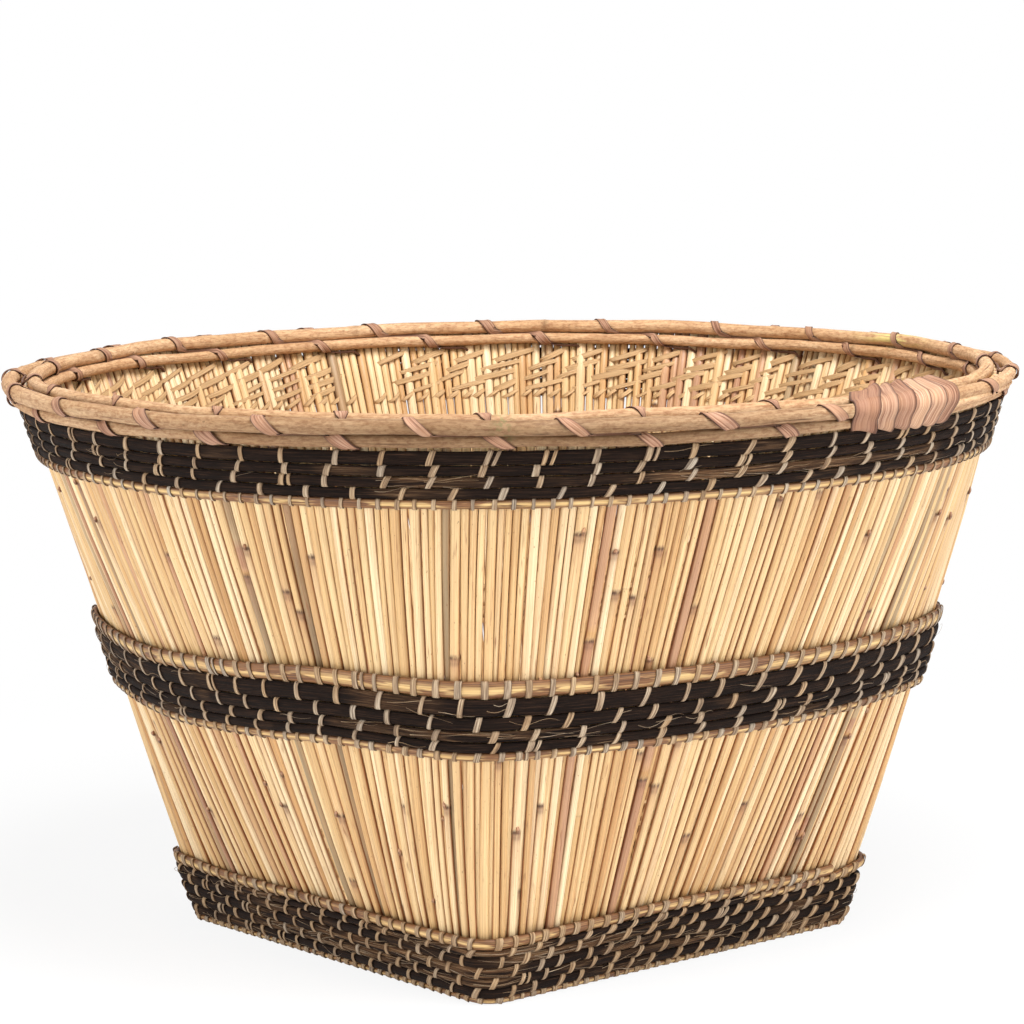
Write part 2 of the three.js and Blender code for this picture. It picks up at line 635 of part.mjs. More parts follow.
for (let panel = 0; panel < PANEL_COUNT; panel += 1) {
  const start = panel / PANEL_COUNT;
  const end = (panel + 1) / PANEL_COUNT;
  const outlines = [0, reedTop].map((z) => {
    const halfGap = CLEARANCE / 2 / girthAt(z);
    return panelOutline(start + halfGap, end - halfGap, z);
  });
  let geometry = loft(outlines);
  for (const cutter of cutters) {
    const fromPanel = THREE.MathUtils.euclideanModulo(cutter.from - start, 1);
    const meets = fromPanel < end - start || fromPanel + cutter.to - cutter.from > 1;
    if (meets) geometry = toGeometry(toSolid(geometry).subtract(cutter.solid));
  }
  addPiece(`reed_panel_${String(panel + 1).padStart(2, "0")}`, geometry, STRAW);
}

// Floor: battens on the ground from wall to wall, and a mat of reeds across them.

const floorHalf = BASE_SIDE / 2 + innerOffset(0) - CLEARANCE;
const floorCornerRadius = BASE_CORNER_RADIUS;
const floorCornerCentre = floorHalf - floorCornerRadius;

for (let batten = 0; batten < BATTEN_COUNT; batten += 1) {
  const geometry = new THREE.BoxGeometry(BATTEN_WIDTH, 2 * floorHalf, BATTEN_HEIGHT);
  geometry.translate((batten - (BATTEN_COUNT - 1) / 2) * BATTEN_PITCH, 0, BATTEN_HEIGHT / 2);
  addPiece(`floor_batten_${batten + 1}`, geometry, CANE);
}

// Half length of a floor reed at a distance from the middle of the mat.
function floorReach(y) {
  const past = Math.min(Math.max(Math.abs(y) - floorCornerCentre, 0), floorCornerRadius);
  return floorCornerCentre + Math.sqrt(floorCornerRadius ** 2 - past ** 2);
}

const floorBottom = BATTEN_HEIGHT + CLEARANCE;
const floorReedPitch = (2 * floorHalf) / FLOOR_REED_COUNT;

function floorEnd(side) {
  const at = (y, rise) => new THREE.Vector3(side * floorReach(y), y, floorBottom + rise);
  const above = [];
  for (let reed = 0; reed < FLOOR_REED_COUNT; reed += 1) {
    const y = -floorHalf + reed * floorReedPitch;
    above.push(at(y, FLOOR_REED_THICKNESS - FLUTE_DEPTH));
    above.push(...FLUTE_SHOULDERS.map((share) => at(y + share * floorReedPitch, FLOOR_REED_THICKNESS)));
  }
  above.push(at(floorHalf, FLOOR_REED_THICKNESS - FLUTE_DEPTH));
  return [...above, at(floorHalf, 0), at(floorCornerCentre, 0), at(-floorCornerCentre, 0), at(-floorHalf, 0)];
}

addPiece("floor_mat", loft([floorEnd(-1), floorEnd(1)]), STRAW);

export default basket;
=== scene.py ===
"""Looks of the reed basket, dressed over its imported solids.

The wall is built reed by reed. Each rod and cane of the bands is a tube, and every stitch, loose fibre
and floor reed is a strip or tube of its own. Metres, in the frame of the solids: ground at z = 0, base
sides along X and Y. A turn of 0 to 1 goes round the wall from the middle of the +X side.
"""

import math

import bpy
import numpy as np
from mathutils import Matrix, Vector


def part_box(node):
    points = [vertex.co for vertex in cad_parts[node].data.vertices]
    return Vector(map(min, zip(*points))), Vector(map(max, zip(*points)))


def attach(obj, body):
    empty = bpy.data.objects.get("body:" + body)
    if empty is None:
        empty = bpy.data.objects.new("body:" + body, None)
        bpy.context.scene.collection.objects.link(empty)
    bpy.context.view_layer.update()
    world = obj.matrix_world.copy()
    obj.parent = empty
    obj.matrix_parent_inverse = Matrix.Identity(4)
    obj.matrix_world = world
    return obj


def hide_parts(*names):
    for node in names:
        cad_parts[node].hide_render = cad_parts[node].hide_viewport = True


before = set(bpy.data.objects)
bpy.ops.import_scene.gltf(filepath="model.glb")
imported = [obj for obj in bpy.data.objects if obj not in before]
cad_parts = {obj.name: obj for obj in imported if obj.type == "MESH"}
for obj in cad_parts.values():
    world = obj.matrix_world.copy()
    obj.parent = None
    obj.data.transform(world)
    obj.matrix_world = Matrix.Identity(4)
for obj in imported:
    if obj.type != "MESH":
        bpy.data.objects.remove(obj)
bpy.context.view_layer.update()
rng = np.random.default_rng(20)

# Wall
BASE_SIDE = 0.279
BASE_CORNER_RADIUS = 0.010
MOUTH_DIAMETER = 0.587
RIM_HEIGHT = 0.340
CLEARANCE = 0.0003
WALL_BOW = 0.0035  # by which the reeds bow out between the ground and the rim
BOW_TOP = 0.322  # height of the rim's lower edge, where the bow ends
FRONT_CORNER = 5 / 8  # turn of the base's corner that faces the camera
PANEL_COUNT = 24
REEDS_PER_PANEL = 14
REED_DIAMETER = 0.0048
REED_SPREAD = 0.15  # share by which reeds differ in thickness
REED_FILL = 0.98  # of its place high in the wall that a reed fills, so that slits stay open
REED_SIDES = 10
REED_STATIONS = 13
BACK_AFTER_FRONT = 0.78  # chance that the reed next to a front one starts behind it
BACK_BASE_SHARE = 0.22  # of its width that a back reed shows at the ground
PRESSED_TOGETHER = 0.4  # by which neighbours press into each other above the base band
PRESSED_HEIGHT = 0.05
MAUVE_SHARE = 0.06
GREY_SHARE = 0.035
NODE_CHANCE = 0.5  # of a ring-shaped node on a reed
NODE_HEIGHTS = (0.05, 0.29)
NODE_SWELL = 0.2  # of a reed's radius at its node
BUD_CHANCE = 0.5  # of a bud on a node
THIN_CHANCE = 0.06  # of a thin reed, which leaves a slit
THIN_SHARE = 0.8
SHEATH_CHANCE = 0.04  # of a pale leaf sheath round the upper part of a reed
SHEATH_HEIGHTS = (0.08, 0.285)

# Bands
BAND_SEAM = 72 / 360
ROD_THICKNESS = {"top": 0.0038, "middle": 0.0042, "base": 0.004}
ROD_SQUARENESS = 0.86  # below 1 a rod's section is fuller than an oval
ROD_SIDES = 14
CANE_THICKNESS = 0.0034
BAND_GAP = 0.001  # from the wall's face to the rods and canes, which uneven reeds need
RING_STATIONS = 640
LAP_START = 281.7 / 360
LAP_LENGTH = 0.076
LAP_RAMP = 0.045
TOP_ROD_FILL = 0.0013  # by which the top rod swells up to the hoop above it
CORNER_DIP = 0.0028  # by which the base band's upper cane drops at the front corner
# Turns, lengths along the rim and heights of the places where the middle band leaves its level
MIDDLE_WAVES = ((0.455, 0.09, -0.004), (0.564, 0.07, 0.003))
# Rods whose dark skin is worn off, between which turns and by how much
FRAYED_STRETCHES = (
    ("top_band_rod_2", 0.60, 0.80, 1.0),
    ("top_band_rod_3", 0.46, 0.56, 0.45),
    ("top_band_rod_1", 0.70, 0.80, 0.5),
    ("middle_band_rod_4", 0.34, 0.51, 0.9),
    ("middle_band_rod_2", 0.56, 0.67, 0.8),
    ("middle_band_rod_3", 0.38, 0.5, 0.5),
    ("base_band_rod_3", 0.50, 0.64, 0.9),
    ("base_band_rod_2", 0.44, 0.63, 0.9),
    ("base_band_rod_4", 0.46, 0.55, 0.5),
    ("base_band_rod_short", 0.55, 0.66, 0.7),
    ("base_band_rod_2", 0.70, 0.78, 0.4))
BASE_BAND_WEAR = 0.45  # all along the base band's rods
FIBRES_TRIED = 260  # places on each rod where a loose fibre may start
FIBRE_CLEARANCE = 0.0008  # of loose fibres above the ground

# Stitches
ROD_STITCH_PITCH = {"top": 0.028, "middle": 0.0255, "base": 0.0175}
CANE_STITCH_PITCH = {
    "top_band_cane_lower": 0.0103, "middle_band_cane_lower": 0.0106, "middle_band_cane_upper": 0.0124,
    "base_band_cane_lower": 0.0078, "base_band_cane_upper": 0.0105}
ROD_STITCH_WIDTH = 0.0037
CANE_STITCH_WIDTH = {"top": 0.0026, "middle": 0.0038, "base": 0.0045}
ROD_STITCH_LEAN = 0.0027
CANE_STITCH_LEAN = 0.0008
STITCH_THICKNESS = 0.0005
STITCH_ARC = 100  # degrees up and down from straight out, over a rod or cane
ROD_DOUBLE_CHANCE = 0.08  # of a second, narrower stitch beside one
CANE_DOUBLE_CHANCE = 0.03
FLOAT_WIDTH = 0.0037  # of the part of a stitch that shows inside
FLOAT_LOWEST = 0.01  # rows below this height show no stitches inside

# Rim
SPLICE_TURN = 277.6 / 360
SPLICE_LENGTH = 0.088
SPLICE_TURNS = 6
SPLICE_STRIP_WIDTH = 0.0162
SPLICE_YAW = 0.024  # by which the wrap's first turn lies farther back outside than inside
SPLICE_TILT = 0.28  # by which each turn of the wrap is raised over the one after it
SPLICE_STEPS = 60  # of a turn
SPLICE_LIFT = 0.0014  # of the wrap off the hoops, which its tilted turns need
LASHING_FROM_SPLICE = 0.037
LASHING_TO_SPLICE = 0.017
LAST_CROSSING_GAP = 0.016
LASHING_TURNS = 21
LASHING_WIDTH = 0.0066
LASHING_GATHERED = 0.0014
LASHING_SLANT = 0.012
CROSSING_STATIONS = 24
# Degrees up from straight out of the basket between which the lashing crosses each hoop
OVER_OUTER_UPPER = (140, -80)
OVER_OUTER_LOWER = (75, -110)
ROUND_INNER_LOWER = (-95, -225)
ROUND_INNER_UPPER = (-150, -305)
INSIDE_WIDTH_SHARE = 0.85  # of the lashing's width where it crosses the inner hoops
STRIP_THICKNESS = 0.0006
STRIP_PASS_HEIGHT = 0.3222
HOOP_STATIONS = 520
HOOP_SIDES = 16
HOOP_KNOTS = 8
KNOT_LENGTH = 0.0025
FRONT_TURN = 230.1 / 360  # of the rim, nearest to the camera
LEFT_TURN = FRONT_TURN - 1 / 4
FRONT_SHADE_LENGTH = 0.3  # along the rim, over which shade is painted into the bark at the front
FRONT_PAINTED_SHADE = {  # share of that painted shade on each hoop
    "rim_hoop_outer_upper": 1.0, "rim_hoop_outer_lower": 1.0,
    "rim_hoop_inner_upper": 0.35, "rim_hoop_inner_lower": 0.0}
TAIL_LENGTH = 0.125  # of a hoop's thinned end beside the wrap, along the rim
TAIL_RADIUS = 0.0029
TAIL_TUCK = 0.012  # of that end under the wrap
PEELED_TURN = 0.971  # middle of the stretch where the upper inner hoop is bare, with a knot in it
PEELED_LENGTH = 0.026
PEELED_KNOT_LENGTH = 0.003
LICHEN_TURN = 0.637
LICHEN_LENGTH = 0.0045

# Floor
FLOOR_REED_COUNT = 54
FLOOR_TUCK = 0.003  # by which the floor's reeds reach in between the wall's reeds
BATTEN_END_GAP = 0.0008

# Camera, fitted to the photograph
CAMERA_AZIMUTH = math.radians(230.10)
CAMERA_DISTANCE = 2.2497
CAMERA_HEIGHT = 0.5587
CAMERA_PITCH = math.radians(7.794)
CAMERA_ROLL = math.radians(-0.793)
CAMERA_LENS = 132.71
SENSOR_WIDTH = 36

# Stage
FLOOR_SIZE = 40
FLOOR_DROP = 0.0002  # below the ground that the basket stands on
FLOOR_GLOW = 0.88  # share of the floor's own white beside the basket, which leaves the rest to its shadow
GLOW_NEAR = 0.4  # distance from the middle up to which that holds
GLOW_FAR = 0.95  # distance from which the floor is all white
AMBIENT = 0.42
# Lamps: degrees to the right of the camera, distance, height, size and watts
SOFTBOXES = {
    "left": (-58, 1.8, 0.35, 1.2, 21),
    "right": (58, 1.8, 0.35, 1.2, 20),
    "front": (-4, 2.6, 0.4, 1.0, 3),
    "top": (22, 0.8, 1.8, 0.9, 50)}

FULL_TURN = 2 * math.pi
ALONG_X = np.array([1.0, 0.0, 0.0])
ALONG_Y = np.array([0.0, 1.0, 0.0])
UP = np.array([0.0, 0.0, 1.0])
corner_centre = BASE_SIDE / 2 - BASE_CORNER_RADIUS
side_girth = 2 * corner_centre + math.pi / 2 * BASE_CORNER_RADIUS
mouth_girth = math.pi * MOUTH_DIAMETER
reed_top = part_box("reed_panel_12")[1].z


# Shape of the wall


def base_point(turn):
    along = np.asarray(turn, float) * 4 * side_girth + corner_centre
    side = np.floor(along / side_girth)
    rest = along - side * side_girth
    bend = np.maximum(0, rest - 2 * corner_centre) / BASE_CORNER_RADIUS
    x = corner_centre + BASE_CORNER_RADIUS * np.cos(bend)
    y = np.minimum(rest - corner_centre, corner_centre) + BASE_CORNER_RADIUS * np.sin(bend)
    angle = side * math.pi / 2
    return np.stack([x * np.cos(angle) - y * np.sin(angle), x * np.sin(angle) + y * np.cos(angle)], -1)


def mouth_point(turn):
    angle = np.asarray(turn, float) * FULL_TURN
    return np.stack([np.cos(angle), np.sin(angle)], -1) * MOUTH_DIAMETER / 2


def straight_point(base_turn, mouth_turn, z):
    share = (np.asarray(z, float) / RIM_HEIGHT)[..., None]
    return (1 - share) * base_point(base_turn) + share * mouth_point(mouth_turn)


def wall_outward(turn, z):
    step = 0.0007
    along = straight_point(turn + step, turn + step, z) - straight_point(turn - step, turn - step, z)
    along /= np.linalg.norm(along, axis=-1, keepdims=True)
    return np.stack([along[..., 1], -along[..., 0], np.zeros(along.shape[:-1])], -1)


def wall_upward(turn, z):
    """Direction up the leaning wall, with a height of 1."""
    out = wall_outward(turn, z)
    lean = ((mouth_point(turn) - base_point(turn)) * out[..., :2]).sum(-1) / RIM_HEIGHT
    return UP + out * lean[..., None]


def bow_at(z):
    share = np.clip(np.asarray(z, float) / BOW_TOP, 0, 1)
    return WALL_BOW * (1 - np.abs(2 * share - 1) ** 3)


def wall_at(turn, offset, z):
    turn, offset, z = np.broadcast_arrays(np.asarray(turn, float), offset, z)
    flat = straight_point(turn, turn, z)
    point = np.concatenate([flat, z[..., None]], -1)
    return point + wall_outward(turn, z) * (offset + bow_at(z))[..., None]


def girth_at(z):
    return 4 * side_girth + (mouth_girth - 4 * side_girth) * z / RIM_HEIGHT


def smooth_noise(longest, shortest, waves=7):
    """A smooth random function of a distance, about as often above 0 as below, mostly within -1 to 1."""
    lengths = np.geomspace(longest, shortest, waves)
    phases = rng.uniform(0, FULL_TURN, waves)
    weights = np.sqrt(lengths)
    weights /= np.linalg.norm(weights) / math.sqrt(0.5)

    def value(distance):
        angle = FULL_TURN * np.asarray(distance, float)[..., None] / lengths + phases
        return (weights * np.sin(angle)).sum(-1)

    return value


def bell(distance, width):
    """1 at no distance, falling off to both sides within a width."""
    return np.exp(-((distance / width) ** 2))


def bump(turn, centre, half_length):
    """1 at a turn, falling off to both sides of it within a length along the rim."""
    away = (np.asarray(turn, float) - centre + 0.5) % 1 - 0.5
    return bell(away * mouth_girth, half_length)


# Meshes


class Bundle:
    """Lofted tubes and strips gathered into one mesh, with the values that its material reads."""

    LABELS = ("flank", "tone", "mark", "blush")

    def __init__(self):
        self.points = []
        self.faces = []
        self.grain = []
        self.values = {label: [] for label in self.LABELS}
        self.count = 0

    def loft(self, path, across, level, profile, tone=0.0, mark=0.0, blush=0.0):
        """Closed tube along a path. Its profile, along across and level, may change from row to row."""
        path = np.asarray(path, float)
        across = np.broadcast_to(across, path.shape)
        level = np.broadcast_to(level, path.shape)
        profile = np.broadcast_to(profile, (len(path), *np.shape(profile)[-2:]))
        steps, sides = profile.shape[:2]
        rows = path[:, None] + profile[..., :1] * across[:, None] + profile[..., 1:] * level[:, None]
        run = np.concatenate([[0], np.cumsum(np.linalg.norm(np.diff(path, axis=0), axis=1))])
        run = np.broadcast_to((run + rng.uniform(0, 50))[:, None, None], (steps, sides, 1))
        index = self.count + np.arange(steps * sides).reshape(steps, sides)
        beside = np.roll(index, -1, axis=1)
        quads = np.stack([index[:-1], beside[:-1], beside[1:], index[1:]], -1).reshape(-1, 4)
        self.faces += quads.tolist()
        self.faces.append(index[0, ::-1].tolist())
        self.faces.append(index[-1].tolist())
        self.points.append(rows.reshape(-1, 3))
        self.grain.append(np.concatenate([run, profile], -1).reshape(-1, 3))
        flank = np.abs(profile[..., 0])
        flank = flank / flank.max(axis=1, keepdims=True)
        for label, value in zip(self.LABELS, (flank, tone, mark, blush)):
            value = np.asarray(value, float)
            if value.ndim == 1:
                value = value[:, None]
            self.values[label].append(np.broadcast_to(value, (steps, sides)).reshape(-1))
        self.count += steps * sides

    def piece(self, name, material, slot, nodes=()):
        mesh = bpy.data.meshes.new(name)
        mesh.from_pydata(np.concatenate(self.points).tolist(), [], self.faces)
        grain = mesh.attributes.new("grain", "FLOAT_VECTOR", "POINT")
        grain.data.foreach_set("vector", np.concatenate(self.grain).astype(np.float32).ravel())
        for label, values in self.values.items():
            attribute = mesh.attributes.new(label, "FLOAT", "POINT")
            attribute.data.foreach_set("value", np.concatenate(values).astype(np.float32))
        mesh.polygons.foreach_set("use_smooth", [len(face) == 4 for face in self.faces])
        mesh.materials.append(material)
        mesh.update()
        piece = bpy.data.objects.new(name, mesh)
        bpy.context.scene.collection.objects.link(piece)
        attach(piece, "root")
        if nodes:
            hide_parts(*nodes)
        return piece


def unit(vectors):
    return vectors / np.maximum(np.linalg.norm(vectors, axis=-1, keepdims=True), 1e-12)


def raised(values, power):
    """Values raised to a power with their signs kept."""
    return np.sign(values) * np.abs(values) ** power


def oval(sides, squareness=1.0):
    """Closed outline of an oval of half sizes 1 and 1: a squareness below 1 fills out its corners."""
    angle = np.arange(sides) / sides * FULL_TURN
    return raised(np.stack([np.cos(angle), np.sin(angle)], -1), squareness)


RIBBON = np.array([
    [-0.5, -0.5], [-0.5, 0.15], [-0.44, 0.5], [-0.34, 0.5], [-0.17, 0.5], [0, 0.5], [0.17, 0.5],
    [0.34, 0.5], [0.44, 0.5], [0.5, 0.15], [0.5, -0.5], [0.25, -0.5], [0, -0.5], [-0.25, -0.5]])


def add_strip(bundle, path, away, width, thickness, tone, mark=0.0):
    """Flat strip along a path, facing away from what it lies on."""
    path = np.asarray(path, float)
    along = unit(np.gradient(path, axis=0))
    across = unit(np.cross(along, away))
    level = unit(np.cross(across, along))
    size = np.stack(np.broadcast_arrays(np.asarray(width, float), thickness, path[:, 0])[:2], -1)
    bundle.loft(path, across, level, RIBBON * size[:, None], tone, mark)


# Materials


def colour(red, green, blue):
    """Linear colour with full alpha from the three values of a colour as it is seen, each 0 to 255."""
    seen = np.array([red, green, blue]) / 255
    linear = np.where(seen <= 0.04045, seen / 12.92, ((seen + 0.055) / 1.055) ** 2.4)
    return (*linear.tolist(), 1.0)


def grey(level):
    return (level, level, level, 1.0)


class Finish:
    """A material and short ways to add the nodes behind its colour, roughness and bump."""

    def __init__(self, name):
        self.material = bpy.data.materials.new(name)
        self.material.use_nodes = True
        self.nodes = self.material.node_tree.nodes
        self.links = self.material.node_tree.links
        self.surface = self.nodes["Principled BSDF"]

    def feed(self, socket, value):
        """Links a socket to another, or sets its number or its colour as it is seen."""
        if isinstance(value, bpy.types.NodeSocket):
            self.links.new(value, socket)
        else:
            socket.default_value = colour(*value) if isinstance(value, tuple) else value

    def attribute(self, name, output="Fac"):
        node = self.nodes.new("ShaderNodeAttribute")
        node.attribute_name = name
        return node.outputs[output]

    def grain(self, along, across):
        """Place on the piece, scaled along and across it, so that a noise there is drawn out along it."""
        node = self.nodes.new("ShaderNodeVectorMath")
        node.operation = "MULTIPLY"
        self.links.new(self.attribute("grain", "Vector"), node.inputs[0])
        node.inputs[1].default_value = (along, across, across)
        return node.outputs["Vector"]

    def noise(self, along, across, detail=3.0, roughness=0.55):
        node = self.nodes.new("ShaderNodeTexNoise")
        self.links.new(self.grain(along, across), node.inputs["Vector"])
        node.inputs["Scale"].default_value = 1.0
        node.inputs["Detail"].default_value = detail
        node.inputs["Roughness"].default_value = roughness
        return node.outputs["Fac"]

    def ramp(self, value, stops):
        node = self.nodes.new("ShaderNodeValToRGB")
        elements = node.color_ramp.elements
        while len(elements) < len(stops):
            elements.new(0.5)
        for element, (position, shade) in zip(elements, stops):
            element.position = position
            element.color = colour(*shade)
        self.links.new(value, node.inputs["Fac"])
        return node.outputs["Color"]

    def spread(self, value, low, high, to_low=0.0, to_high=1.0):
        node = self.nodes.new("ShaderNodeMapRange")
        for socket, number in zip(node.inputs[1:5], (low, high, to_low, to_high)):
            socket.default_value = number
        self.links.new(value, node.inputs["Value"])
        return node.outputs["Result"]

    def times(self, first, second):
        node = self.nodes.new("ShaderNodeMath")
        node.operation = "MULTIPLY"
        self.feed(node.inputs[0], first)
        self.feed(node.inputs[1], second)
        return node.outputs["Value"]

    def mix(self, share, first, second, blend="MIX"):
        node = self.nodes.new("ShaderNodeMix")
        node.data_type = "RGBA"
        node.blend_type = blend
        self.feed(node.inputs["Factor"], share)
        self.feed(node.inputs["A"], first)
        self.feed(node.inputs["B"], second)
        return node.outputs["Result"]

    def tint(self, shade, value, low, high, to_low, to_high, tint, blend="MIX"):
        """Brings a tint into a shade by a share that follows a value."""
        return self.mix(self.spread(value, low, high, to_low, to_high), shade, tint, blend)

    def paint_edge_shade(self, shade, start, share, tint):
        """Multiplies a dark tint in towards the two edges of a strip or the flanks of a reed: painted
        shade, for the crevices along them.
        """
        return self.tint(shade, self.attribute("flank"), start, 1, 0, share, tint, "MULTIPLY")

    def finish(self, shade, roughness, height, distance, specular=0.5):
        self.feed(self.surface.inputs["Base Color"], shade)
        self.feed(self.surface.inputs["Roughness"], roughness)
        self.surface.inputs["Specular IOR Level"].default_value = specular
        bumps = self.nodes.new("ShaderNodeBump")
        bumps.inputs["Strength"].default_value = 1.0
        bumps.inputs["Distance"].default_value = distance
        self.links.new(height, bumps.inputs["Height"])
        self.links.new(bumps.outputs["Normal"], self.surface.inputs["Normal"])
        return self.material


def reed_material():
    reed = Finish("reed")
    shade = reed.ramp(reed.attribute("tone"), [
        (0.0, (238, 218, 178)), (0.25, (226, 197, 147)), (0.5, (214, 180, 127)),
        (0.78, (194, 150, 96)), (0.84, (196, 154, 116)), (0.92, (170, 128, 98)),
        (0.94, (180, 156, 118)), (1.0, (140, 116, 84))])
    cloud = reed.noise(9, 150, 2)
    shade = reed.tint(shade, cloud, 0.48, 0.75, 0, 0.5, (214, 164, 106))
    streaks = reed.noise(14, 1900, 3)
    shade = reed.tint(shade, streaks, 0.36, 0.6, 0.42, 0, (170, 118, 64), "MULTIPLY")
    # Mauve-brown from the blush attribute: stains, and below the nodes partly painted shade.
    shade = reed.mix(reed.times(reed.attribute("blush"), 0.6), shade, (160, 108, 78))
    specks = reed.noise(420, 900, 1)
    shade = reed.tint(shade, specks, 0.71, 0.79, 0, 0.6, (120, 74, 40))
    scars = reed.noise(52, 640, 2)
    shade = reed.tint(shade, scars, 0.65, 0.76, 0, 0.7, (134, 84, 46))
    broken = reed.spread(reed.noise(60, 800, 2), 0.38, 0.56, 0.45, 1)
    shade = reed.mix(reed.times(reed.attribute("mark"), broken), shade, (84, 50, 28))
    # Painted shade: the flanks of each reed darken to orange-brown, as the gaps between reeds do in shade.
    shade = reed.paint_edge_shade(shade, 0.78, 0.95, (160, 88, 30))
    return reed.finish(shade, reed.spread(streaks, 0.3, 0.7, 0.36, 0.52), streaks, 0.00016)


def fibre_material():
    fibre = Finish("dark_fibre")
    strands = fibre.noise(34, 2600, 4, 0.65)
    shade = fibre.ramp(strands, [(0.3, (8, 4, 2)), (0.52, (28, 16, 10)), (0.72, (76, 54, 40))])
    patch = fibre.noise(20, 330, 3)
    frayed = fibre.times(fibre.spread(patch, 0.4, 0.58), fibre.attribute("mark"))
    bare = fibre.ramp(strands, [(0.34, (46, 30, 20)), (0.52, (104, 74, 50)), (0.7, (176, 142, 106))])
    shade = fibre.mix(frayed, shade, bare)
    return fibre.finish(shade, fibre.spread(strands, 0.3, 0.7, 0.7, 0.9), strands, 0.0014, 0.12)


def cane_material():
    cane = Finish("cane")
    strands = cane.noise(22, 1700, 3)
    bark = cane.ramp(strands, [(0.3, (70, 40, 20)), (0.5, (114, 74, 42)), (0.72, (154, 110, 70))])
    stripe_noise = cane.noise(30, 190, 3, 0.6)
    stripe_colour = cane.ramp(strands, [(0.3, (178, 134, 76)), (0.6, (224, 192, 132))])
    # Pale stripe along the middle of the outer face, broken up by noise.
    stripe = cane.times(cane.attribute("mark"), cane.spread(stripe_noise, 0.43, 0.51))
    shade = cane.mix(stripe, bark, stripe_colour)
    return cane.finish(shade, cane.spread(strands, 0.3, 0.7, 0.36, 0.58), strands, 0.0004, 0.4)


def stitch_material():
    stitch = Finish("stitch")
    strands = stitch.noise(60, 1700, 3, 0.6)
    warm = stitch.ramp(strands, [(0.32, (90, 64, 42)), (0.5, (150, 120, 86)), (0.66, (190, 164, 130))])
    cool = stitch.ramp(strands, [(0.32, (86, 72, 60)), (0.5, (144, 128, 110)), (0.66, (184, 172, 154))])
    shade = stitch.mix(stitch.attribute("tone"), warm, cool)
    shade = stitch.mix(stitch.attribute("mark"), shade, (224, 184, 132))
    # Painted shade along the two edges of each stitch.
    shade = stitch.paint_edge_shade(shade, 0.72, 0.6, (136, 104, 76))
    return stitch.finish(shade, stitch.spread(strands, 0.3, 0.7, 0.55, 0.75), strands, 0.0005, 0.35)


def bark_material():
    bark = Finish("hoop_bark")
    cloud = bark.noise(16, 120, 3)
    shade = bark.ramp(cloud, [(0.3, (192, 152, 110)), (0.5, (206, 168, 127)), (0.7, (218, 184, 145))])
    mottle = bark.noise(240, 620, 4, 0.7)
    shade = bark.tint(shade, mottle, 0.36, 0.58, 0.6, 0, (172, 128, 88), "MULTIPLY")
    strands = bark.noise(34, 1500, 4, 0.65)
    shade = bark.tint(shade, strands, 0.3, 0.55, 0.5, 0, (160, 112, 70), "MULTIPLY")
    cracks = bark.noise(10, 520, 2, 0.4)
    shade = bark.tint(shade, cracks, 0.7, 0.76, 0, 0.8, (96, 62, 36))
    specks = bark.noise(260, 420, 1)
    shade = bark.tint(shade, specks, 0.71, 0.79, 0, 0.6, (112, 74, 44))
    flakes = bark.noise(30, 300, 2)
    peeled = bark.times(bark.spread(flakes, 0.42, 0.5), bark.attribute("tone"))
    shade = bark.mix(peeled, shade, (222, 206, 132))
    spots = bark.noise(260, 260, 3)
    lichen = bark.times(bark.spread(spots, 0.48, 0.54), bark.attribute("blush"))
    shade = bark.mix(lichen, shade, (146, 142, 90))
    # Dark knots, and painted shade on the front of the hoops, multiplied in from the mark attribute.
    shade = bark.mix(bark.attribute("mark"), shade, (178, 174, 168), "MULTIPLY")
    return bark.finish(shade, bark.spread(strands, 0.3, 0.7, 0.62, 0.8), mottle, 0.0006, 0.3)


def strip_material():
    strip = Finish("bark_strip")
    strands = strip.noise(26, 1150, 3, 0.6)
    shade = strip.ramp(strands, [(0.34, (126, 84, 60)), (0.46, (182, 140, 112)), (0.64, (212, 178, 150))])
    cloud = strip.noise(50, 90, 2)
    shade = strip.tint(shade, cloud, 0.45, 0.7, 0, 0.5, (206, 164, 124))
    shade = strip.mix(strip.attribute("tone"), shade, (150, 108, 84), "MULTIPLY")
    # Painted shade along the edges of the bark strips, for the crevices where the wrap's turns lap.
    shade = strip.paint_edge_shade(shade, 0.76, 0.9, (96, 58, 40))
    # Painted shade from the mark attribute: the lashing goes dark brown where it is gathered in grooves and
    # under hoops.
    shade = strip.mix(strip.attribute("mark"), shade, (92, 58, 38))
    return strip.finish(shade, strip.spread(strands, 0.3, 0.7, 0.55, 0.75), strands, 0.0007, 0.35)


reed_finish = reed_material()
fibre_finish = fibre_material()
cane_finish = cane_material()
stitch_finish = stitch_material()
bark_finish = bark_material()
strip_finish = strip_material()

# Reeds. At the ground the wall is too short for all of them side by side: every other one starts behind its
# neighbours and comes forward between them as the wall widens.

reed_count = PANEL_COUNT * REEDS_PER_PANEL
is_back = np.zeros(reed_count, bool)
for reed in range(1, reed_count - 1):
    is_back[reed] = not is_back[reed - 1] and rng.random() < BACK_AFTER_FRONT
reed_diameters = REED_DIAMETER * np.clip(rng.normal(1, REED_SPREAD, reed_count), 0.66, 1.36)


def shares_of_girth(widths):
    """Middles of widths laid side by side, as turns."""
    ends = np.cumsum(widths)
    return (ends - widths / 2) / ends[-1]


mouth_turns = shares_of_girth(reed_diameters)
base_turns = shares_of_girth(np.where(is_back, BACK_BASE_SHARE, 1) * reed_diameters)


